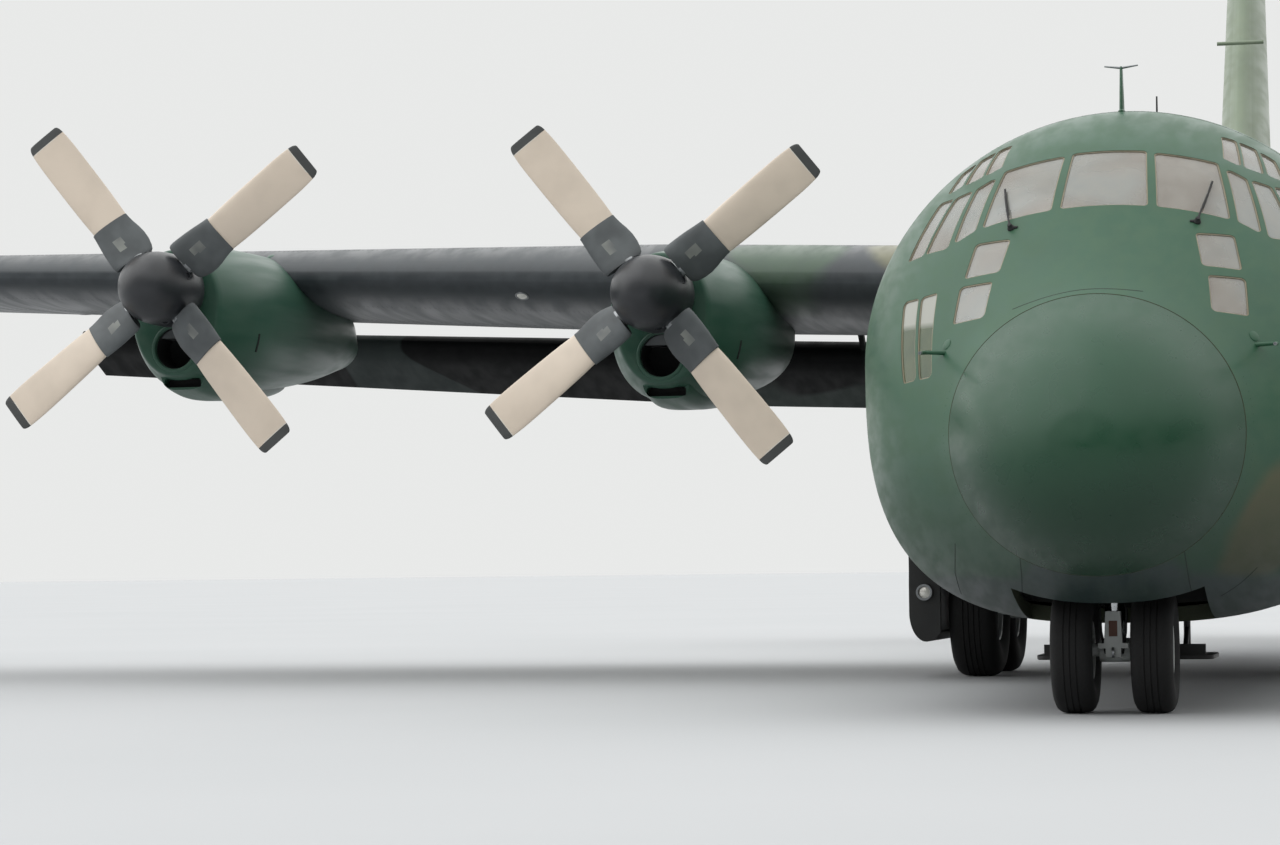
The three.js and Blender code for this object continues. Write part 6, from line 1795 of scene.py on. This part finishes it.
def sponsonLoft(name, inset):
    front, back = np.array(sponsonRows[:4], float), np.array(sponsonRows[4:], float)
    table = np.vstack([splineTable(front, (0.5, 0.6, -0.4, 0.45), (1, 0, 0, 0), 200),
                       splineTable(back, (1, 0, 0, 0), (0.75, -0.45, 0.25, -0.4), 200)])
    stations = [*np.linspace(8700, 10400, 22), *np.linspace(13200, 15300, 22)]
    rings = []
    for i, station in enumerate(stations):
        _, outer, bottom, top = rowAt(table, station)
        y = station + (inset if i == 0 else -inset if i == len(stations) - 1 else 0)
        outer, bottom, top = outer - inset, bottom + inset, top - inset
        corner = (top - bottom) * sponson["corner"]
        flat = outer - corner
        quarter = arc(0, 90, 8)
        low = [(flat + corner * math.sin(a), y, bottom + corner - corner * math.cos(a)) for a in quarter]
        high = [(flat + corner * math.cos(a), y, top - corner + corner * math.sin(a)) for a in quarter]
        rings.append([(sponson["inner"], y, bottom), *low, *high, (sponson["inner"], y, top)])
    return loft(name, rings)


def makeSponsons():
    body = cut(sponsonLoft("sponson_left", 0), sponsonLoft("core", sponson["wall"]))
    cut(body, block("bay", (1400, 2760), (wheelWell["front"] + 20, wheelWell["back"] - 20), (900, 1500)))
    cut(body, hull("hull", 8000, 16300, -seatGap))
    mountPair(body, "sponson", "hull", "camouflage_paint")


# Wheels: the tyres' shoulders are rounded and the tread has straight grooves
mainWheel = {"stations": (10950, 12500), "x": 2220, "radius": 710, "half": 255, "rim": 330, "axle": 60,
             "grooves": 4}
noseWheel = {"station": 2250, "x": 310, "radius": 495, "half": 165, "rim": 235, "axle": 50, "grooves": 3}


def tyreProfile(spec):
    rim, radius, half = spec["rim"] + 0.8, spec["radius"], spec["half"]
    side = [(rim, -half * 0.75), (rim + 22, -half * 0.8), (rim + (radius - rim) * 0.28, -half * 0.94),
            (rim + (radius - rim) * 0.5, -half), (rim + (radius - rim) * 0.72, -half * 0.975),
            (radius * 0.93, -half * 0.87), (radius * 0.97, -half * 0.74), (radius * 0.992, -half * 0.58)]
    grooves, deep, wide = spec["grooves"], radius * 0.014, half * 0.035
    tread = []
    for k in range(grooves):
        middle = half * 0.8 * ((k + 0.5) / grooves - 0.5) * 1.1
        crown = radius - abs(middle) / half * 3
        tread += [(crown, middle - wide), (crown - deep, middle - wide * 0.6),
                  (crown - deep, middle + wide * 0.6), (crown, middle + wide)]
    profile = side + tread + [(r, -along) for r, along in reversed(side)]
    return profile + [profile[0]]


def hubProfile(spec):
    rim, half, bore = spec["rim"], spec["half"], spec["axle"] + 1.4
    out = [(bore, half * 0.55), (bore + 40, half * 0.56), (bore + 60, half * 0.42), (rim * 0.55, half * 0.36),
           (rim * 0.8, half * 0.42), (rim * 0.88, half * 0.7), (rim * 0.93, half * 0.79), (rim, half * 0.8)]
    profile = [(r, -along) for r, along in out] + out[::-1]
    return profile + [profile[0]]


def hubHoles(start, end, centre, ring, radius):
    # eight round holes through a hub, between two side distances
    spots = [(centre[0] + ring * math.cos(a), centre[1] + ring * math.sin(a)) for a in turns(8)]
    return [bar("hole", (start, *spot), (end, *spot), radius, around=16) for spot in spots]


def makeWheels():
    for name, side in sides:
        for station, position in zip(mainWheel["stations"], ("front", "rear")):
            x, _, height = centre = (side * mainWheel["x"], station, mainWheel["radius"])
            tyre = turned(f"main_tyre_{position}_{name}", tyreProfile(mainWheel), centre, (1, 0, 0), 72)
            body = f"main_wheel_{position}_{name}"
            mount(finish(tyre, "tyre"), body, "tyre_rubber", f"main_tyre_{position}_{name}")
            hub = turned(f"main_hub_{position}_{name}", hubProfile(mainWheel), centre, (1, 0, 0), 48)
            cut(hub, *hubHoles(x - 300, x + 300, (station, height), 200, 34))
            mount(finish(hub, "gear"), body, "gear_paint", f"main_hub_{position}_{name}")
        centre = (side * noseWheel["x"], noseWheel["station"], noseWheel["radius"])
        tyre = turned(f"nose_tyre_{name}", tyreProfile(noseWheel), centre, (1, 0, 0), 72)
        mount(finish(tyre, "tyre"), "nose_wheels", "tyre_rubber", f"nose_tyre_{name}")


# Legs: chromed pistons in grey cylinders, with the torque links between them
strutSide = 1800
# the brake line down the strut: inboard of it, towards the other strut, height
brakeRoute = [(60, 96, 1420), (66, 120, 1200), (60, 110, 960), (30, 92, 760)]


def torqueLink(centre, high, low, reach, direction):
    # two flat arms that meet at a knee ahead of the strut or behind it
    x, y, _ = centre
    knee = (y + direction * reach, (high + low) / 2)
    arms = []
    for z in (high, low):
        start = (y + direction * 60, z)
        lean = Vector((0, knee[0] - start[0], knee[1] - start[1])).normalized()
        up = Vector((0, -lean.z, lean.y)) * 14
        arms.append(loft("arm", [
            [(x - half, py - up.y, pz - up.z), (x + half, py - up.y, pz - up.z),
             (x + half, py + up.y, pz + up.z), (x - half, py + up.y, pz + up.z)]
            for (py, pz), half in ((start, 62), (knee, 34))]))
    return fuse(*arms, bar("knee", (x - 46, *knee), (x + 46, *knee), 22))


def makeMainLegs():
    height, top = mainWheel["radius"], wheelWell["top"] - seatGap
    cylinder = [(0, 1349), (92, 1349), (112, 1360), (112, 1410), (100, 1424), (100, top), (0, top)]
    socket = [(0, -95), (88, -95), (98, -84), (98, 84), (88, 95), (0, 95)]
    sleeve = [(0, 620), (60, 620), (86, 640), (86, 830), (78, 842), (0, 842)]
    for name, side in sides:
        x, axleEnd = side * strutSide, side * (mainWheel["x"] + 60)
        grey, bright, dark = [], [], []
        for station, direction in zip(mainWheel["stations"], (1, -1)):
            foot = (x, station, height)
            grey.append(fuse(turned("cylinder", cylinder, (x, station, 0), (0, 0, 1), 40),
                             bar("beam", (x, station, 1630), (x, station + direction * 775, 1630), 68,
                                 around=32)))
            bright.append(bar("piston", foot, (x, station, 1360), 75, around=40))
            grey.append(fuse(bar("axle", foot, (axleEnd, station, height), mainWheel["axle"], around=36),
                             turned("socket", socket, foot, (1, 0, 0), 36),
                             turned("sleeve", sleeve, (x, station, 0), (0, 0, 1), 36)))
            grey.append(torqueLink(foot, 1385, 790, 250, direction))
            route = [(x - side * inboard, station + direction * away, z) for inboard, away, z in brakeRoute]
            dark.append(pipe("brake_line", route, 9))
        parts = finishAll("gear", *grey) + finishAll("chrome", *bright) + finishAll("rubber", *dark)
        mount(joined(f"main_leg_{name}", parts), "airframe", "gear_paint", f"main_leg_{name}")


gearDoor = {"front": 10150, "back": 13300, "outer": 2858, "inner": 2530, "top": 1460, "wall": 50}
gearLamp = (2690, gearDoor["front"], 900)


def doorTray(front, back, inset, inner):
    # the door's section: level below, with a round corner into its upright side
    outer, top = gearDoor["outer"] - inset, gearDoor["top"]
    corners = [(2600, 400 + inset), (2700, 385 + inset), (2790 - inset * 0.6, 450 + inset),
               (2850 - inset, 600 + inset * 0.6), (outer, 1000), (outer, top)]
    bend = splineTable([(x, z, 0, 0) for x, z in corners], (1, -0.2, 0, 0), (0, 1, 0, 0), 34)
    ring = [(inner, top), (inner, 480 + inset)] + [(min(float(p[0]), outer), float(p[1])) for p in bend]
    return loft("tray", [[(x, y, z) for x, z in ring] for y in (front, back)])


def makeMainGearDoors():
    # a deep tray hung from the sponson's edge, with a taxi lamp in its front
    front, back, wall = gearDoor["front"], gearDoor["back"], gearDoor["wall"]
    leaf = doorTray(front, back, 0, gearDoor["inner"])
    hollow = doorTray(front + wall, back - wall, wall, gearDoor["inner"] - 60)
    cut(hollow, block("lip", (2400, 2900), (front - 50, back + 50), (950, 1500)))
    cut(leaf, hollow, sponsonLoft("sponson", -seatGap))
    x, _, height = gearLamp
    rim = [(64, -30), (64, -60), (85, -60), (85, 30), (64, 30), (64, -30)]
    ring = turned("lamp_ring", rim, gearLamp, (0, 1, 0), 40)
    glass = [(0, -48), (34, -44), (63.5, -34), (63.5, 10), (0, 10)]
    lens = turned("lamp_lens", glass, gearLamp, (0, 1, 0), 40)
    cut(leaf, bar("seat", (x, front - 2, height), (x, front + 32, height), 85.5, around=40))
    for name, twin in (("right", True), ("left", False)):
        pieces = []
        for piece, paint in ((leaf, "doorDark"), (ring, "steel"), (lens, "lamp")):
            made = mirrored(piece, piece.name) if twin else copyOf(piece, piece.name)
            pieces.append(finish(made, paint))
        mount(joined(f"main_gear_door_{name}", pieces), "airframe", "nacelle_paint", f"main_gear_door_{name}")
    for piece in (leaf, ring, lens):
        discard(piece)


noseLeg = {"top": 2170, "split": 1050, "wall": 3000}
noseDoor = {"half": 715, "reach": 365, "corner": 70, "station": 3395, "struts": 480}
# side, ahead of the wheels' axle, height
hoseRoute = [(60, 40, 930), (104, 150, 820), (96, 150, 640), (66, 110, 470)]


def makeNoseLeg():
    y, top, low = noseWheel["station"], noseLeg["top"] - seatGap, noseLeg["split"]
    profile = [(0, low), (118, low), (124, low + 12), (124, low + 60), (105, low + 74), (105, 1700),
               (116, 1712), (116, 1760), (105, 1772), (105, top), (0, top)]
    tube = turned("tube", profile, (0, y, 0), (0, 0, 1), 44)
    brace = fuse(bar("brace", (0, y, 1500), (0, 2930, 1975), 45, around=28),
                 block("pad", (-80, 80), (2920, noseLeg["wall"] - seatGap), (1920, 2060)))
    lugs = [bar("lug", (side * 30, y + 60, 1470), (side * 80, y + 60, 1470), 60) for side in (-1, 1)]
    jacks = [bar("steering_jack", (side * 118, y - 70, 1180), (side * 118, y + 150, 1180), 34)
             for side in (-1, 1)]
    leg = [finish(fuse(tube, brace, *lugs), "gear"), *finishAll("steel", *jacks)]
    mount(joined("nose_leg", leg), "airframe", "gear_paint", "nose_leg")


def strutBlock(y):
    # the light block on the strut's front, with its tow fitting below
    rings = []
    for z, half in ((540, 72), (800, 58)):
        corners = ((-1, 60), (-1, 190), (1, 190), (1, 60))
        rings.append([(side * half, y - ahead, z) for side, ahead in corners])
    return [loft("block", rings), block("tow_fitting", (-118, 118), (y - 196, y - 60), (512, 552)),
            block("tow_lug", (-60, 60), (y - 190, y - 60), (446, 520))]


def makeNoseFork():
    y, axle, bore = noseWheel["station"], noseWheel["radius"], noseWheel["axle"] + 1.4
    top = noseLeg["split"] - seatGap
    collar = [(0, 930), (112, 930), (125, 942), (125, 1026), (114, 1038), (80, 1038), (80, top), (0, top)]
    knuckle = [(0, -120), (88, -120), (95, -110), (95, 110), (88, 120), (0, 120)]
    fork = fuse(turned("collar", collar, (0, y, 0), (0, 0, 1), 44),
                turned("knuckle", knuckle, (0, y, axle), (1, 0, 0), 40),
                bar("root", (0, y, 415), (0, y, 640), 84, around=40), *strutBlock(y))
    cut(fork, bar("bore", (-300, y, axle), (300, y, axle), bore, around=40),
        block("recess", (-34, 34), (y - 200, y - 176), (604, 728)))
    piston = cut(bar("piston", (0, y, 600), (0, y, 935), 80, around=44),
                 bar("bore", (-300, y, axle), (300, y, axle), bore))
    insert = block("insert", (-33, 33), (y - 184, y - 175), (605, 727))
    eyeShape = [(22, -9), (42, -9), (42, 9), (22, 9), (22, -9)]
    eye = turned("tow_eye", eyeShape, (0, y - 196, 480), (1, 0, 0), 28)
    hoses = [pipe("hose", [(side * x, y - ahead, z) for x, ahead, z in hoseRoute], 10) for side in (-1, 1)]
    link = torqueLink((0, y, 0), 985, 560, 230, 1)
    parts = [finish(fork, "gear"), finish(piston, "chrome"), finish(insert, "rust"), finish(link, "gear"),
             finish(eye, "steel"), *finishAll("rubber", *hoses)]
    mount(joined("nose_fork", parts), "nose_fork", "gear_paint", "nose_fork")


def makeNoseGearDoor():
    # the door behind the wheels hangs level on two braced struts
    y = noseDoor["station"]
    outline = roundedBox(noseDoor["half"], noseDoor["reach"], noseDoor["corner"], 5)
    door = loft("nose_gear_door", [[(px * share, y + py * share, z) for px, py in outline]
                                   for z, share in ((395, 0.985), (402, 1), (428, 1), (435, 0.99))])
    fuse(door, block("lip", (-650, 650), (3032, 3068), (430, 520)))
    for x in (-noseDoor["struts"], noseDoor["struts"]):
        fuse(door, bar("strut", (x, 3400, 430), (x, 3400, 760), 28),
             bar("brace", (x, 3100, 430), (x, 3390, 640), 22),
             bar("foot", (x - 50, 3400, 446), (x + 50, 3400, 446), 30),
             bar("foot", (x - 36, 3104, 444), (x + 36, 3104, 444), 26))
    cut(door, hull("hull", 2600, noseEnd, -seatGap))
    mount(finish(door, "doorDark"), "airframe", "belly_paint", "nose_gear_door")


def makeNoseWheels():
    y, axle = noseWheel["station"], noseWheel["radius"]
    end = noseWheel["x"] + 0.6 * noseWheel["half"] + 20
    wheels = bar("axle", (-end, y, axle), (end, y, axle), noseWheel["axle"], around=40)
    profile = hubProfile({**noseWheel, "axle": noseWheel["axle"] - 6})
    for side in (-1, 1):
        hub = turned("hub", profile, (side * noseWheel["x"], y, axle), (1, 0, 0), 48)
        fuse(wheels, cut(hub, *hubHoles(side * 100, side * 500, (y, axle), 145, 24)))
    mount(finish(wheels, "gear"), "nose_wheels", "gear_paint", "nose_wheels")


print("building the fuselage")
makeRadome()
makeNose()
makeCrewDoor()
makeGlazing()
makeCargoShell()
makePortholes()
makeTailShell()
makeRearDoors()
makeFlightDeck()
makeNoseFittings()
makeSeams()
makeSkinRivets()
print("building the wings and engines")
makeWings()
makeWingLights()
makeWingRivets()
makeAilerons()
makeFlaps()
makeNacelles()
makePropellers()
print("building the tail")
makeFin()
makeTailplane()
print("building the landing gear")
makeSponsons()
makeWheels()
makeMainLegs()
makeMainGearDoors()
makeNoseLeg()
makeNoseFork()
makeNoseGearDoor()
makeNoseWheels()

# CAD nodes that keep their shape take their finish here
keptNodes = {"nose_wheel_well": "wheelBay", "cargo_floor": "cabin"}
keptNodes |= {f"engine_{number}": "engineMetal" for number in engines}
for nodeName, paint in keptNodes.items():
    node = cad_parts[nodeName]
    node.data.materials.clear()
    node.data.materials.append(paints[paint])


# Floor, light and camera
overheadGlow, backdropGlow = 1.7, 0.88


def makeStage():
    bpy.ops.mesh.primitive_circle_add(vertices=96, radius=400, fill_type="NGON")
    floor = bpy.context.object
    floor.name = "floor"
    material, tree, place = newMaterial("pale_studio_floor")
    pale = blendColours(tree, noise(tree, place, 0.3), colour("a9abad"), colour("b1b2b4"))
    addSurface(tree, {"Base Color": pale, "Roughness": 0.85})
    floor.data.materials.append(material)

    # an overcast sky: bright overhead, dim behind the camera and pale behind the aircraft
    world = bpy.data.worlds.new("studio")
    bpy.context.scene.world = world
    world.use_nodes = True
    tree = world.node_tree
    tree.nodes.clear()
    toward = addNode(tree, "ShaderNodeTexCoord").outputs["Generated"]
    axes = addNode(tree, "ShaderNodeSeparateXYZ", {"Vector": toward}).outputs
    brightSide = addNode(tree, "ShaderNodeVectorMath", {0: toward, 1: (-0.6, 0.8, 0)},
                         operation="DOT_PRODUCT")
    around = mapRange(tree, brightSide.outputs["Value"], -0.95, 0.55, 0.03, 1.4, smooth=True)
    rise = mapRange(tree, axes["Z"], 0.02, 0.75, smooth=True)

    def mixValues(factor, first, second):
        return addNode(tree, "ShaderNodeMix", {0: factor, 2: first, 3: second}, data_type="FLOAT").outputs[0]

    glow = mixValues(rise, around, overheadGlow)
    seen = addNode(tree, "ShaderNodeLightPath").outputs["Is Camera Ray"]
    strength = mixValues(seen, glow, backdropGlow)
    sky = addNode(tree, "ShaderNodeBackground", {"Color": colour("f6f7f6"), "Strength": strength})
    addNode(tree, "ShaderNodeOutputWorld", {"Surface": sky.outputs["Background"]})

    key = bpy.data.lights.new("key", "SUN")
    key.energy, key.angle = 0.8, math.radians(75)
    keyLamp = newObject("key", key)
    keyLamp.rotation_euler = Vector((-0.6, -0.25, 0.75)).to_track_quat("Z", "Y").to_euler()
    bpy.context.scene.view_settings.view_transform = "Standard"


def makeCamera():
    # solved from the photograph: place in metres of the full-size aircraft, then heading, pitch and roll
    x, y, z = 2.329, -23.302, 1.159
    heading, pitch, roll = [math.radians(a) for a in (13.547, 2.633, -0.63)]
    focal, imageWidth = 3220, 1280
    forward = Vector((-math.sin(heading) * math.cos(pitch), math.cos(heading) * math.cos(pitch),
                      math.sin(pitch)))
    across = Vector((math.cos(heading), math.sin(heading), 0))
    upward = across.cross(forward)
    right = across * math.cos(roll) + upward * math.sin(roll)
    up = upward * math.cos(roll) - across * math.sin(roll)
    camera = bpy.data.cameras.new("camera")
    camera.sensor_width = 36
    camera.lens = focal / imageWidth * camera.sensor_width
    camera.clip_end = 1000
    obj = newObject("camera", camera)
    turn = Matrix((right, up, -forward)).transposed().to_4x4()
    obj.matrix_world = Matrix.Translation((x * modelScale, y * modelScale + noseTip, z * modelScale)) @ turn
    bpy.context.scene.camera = obj


makeStage()
makeCamera()
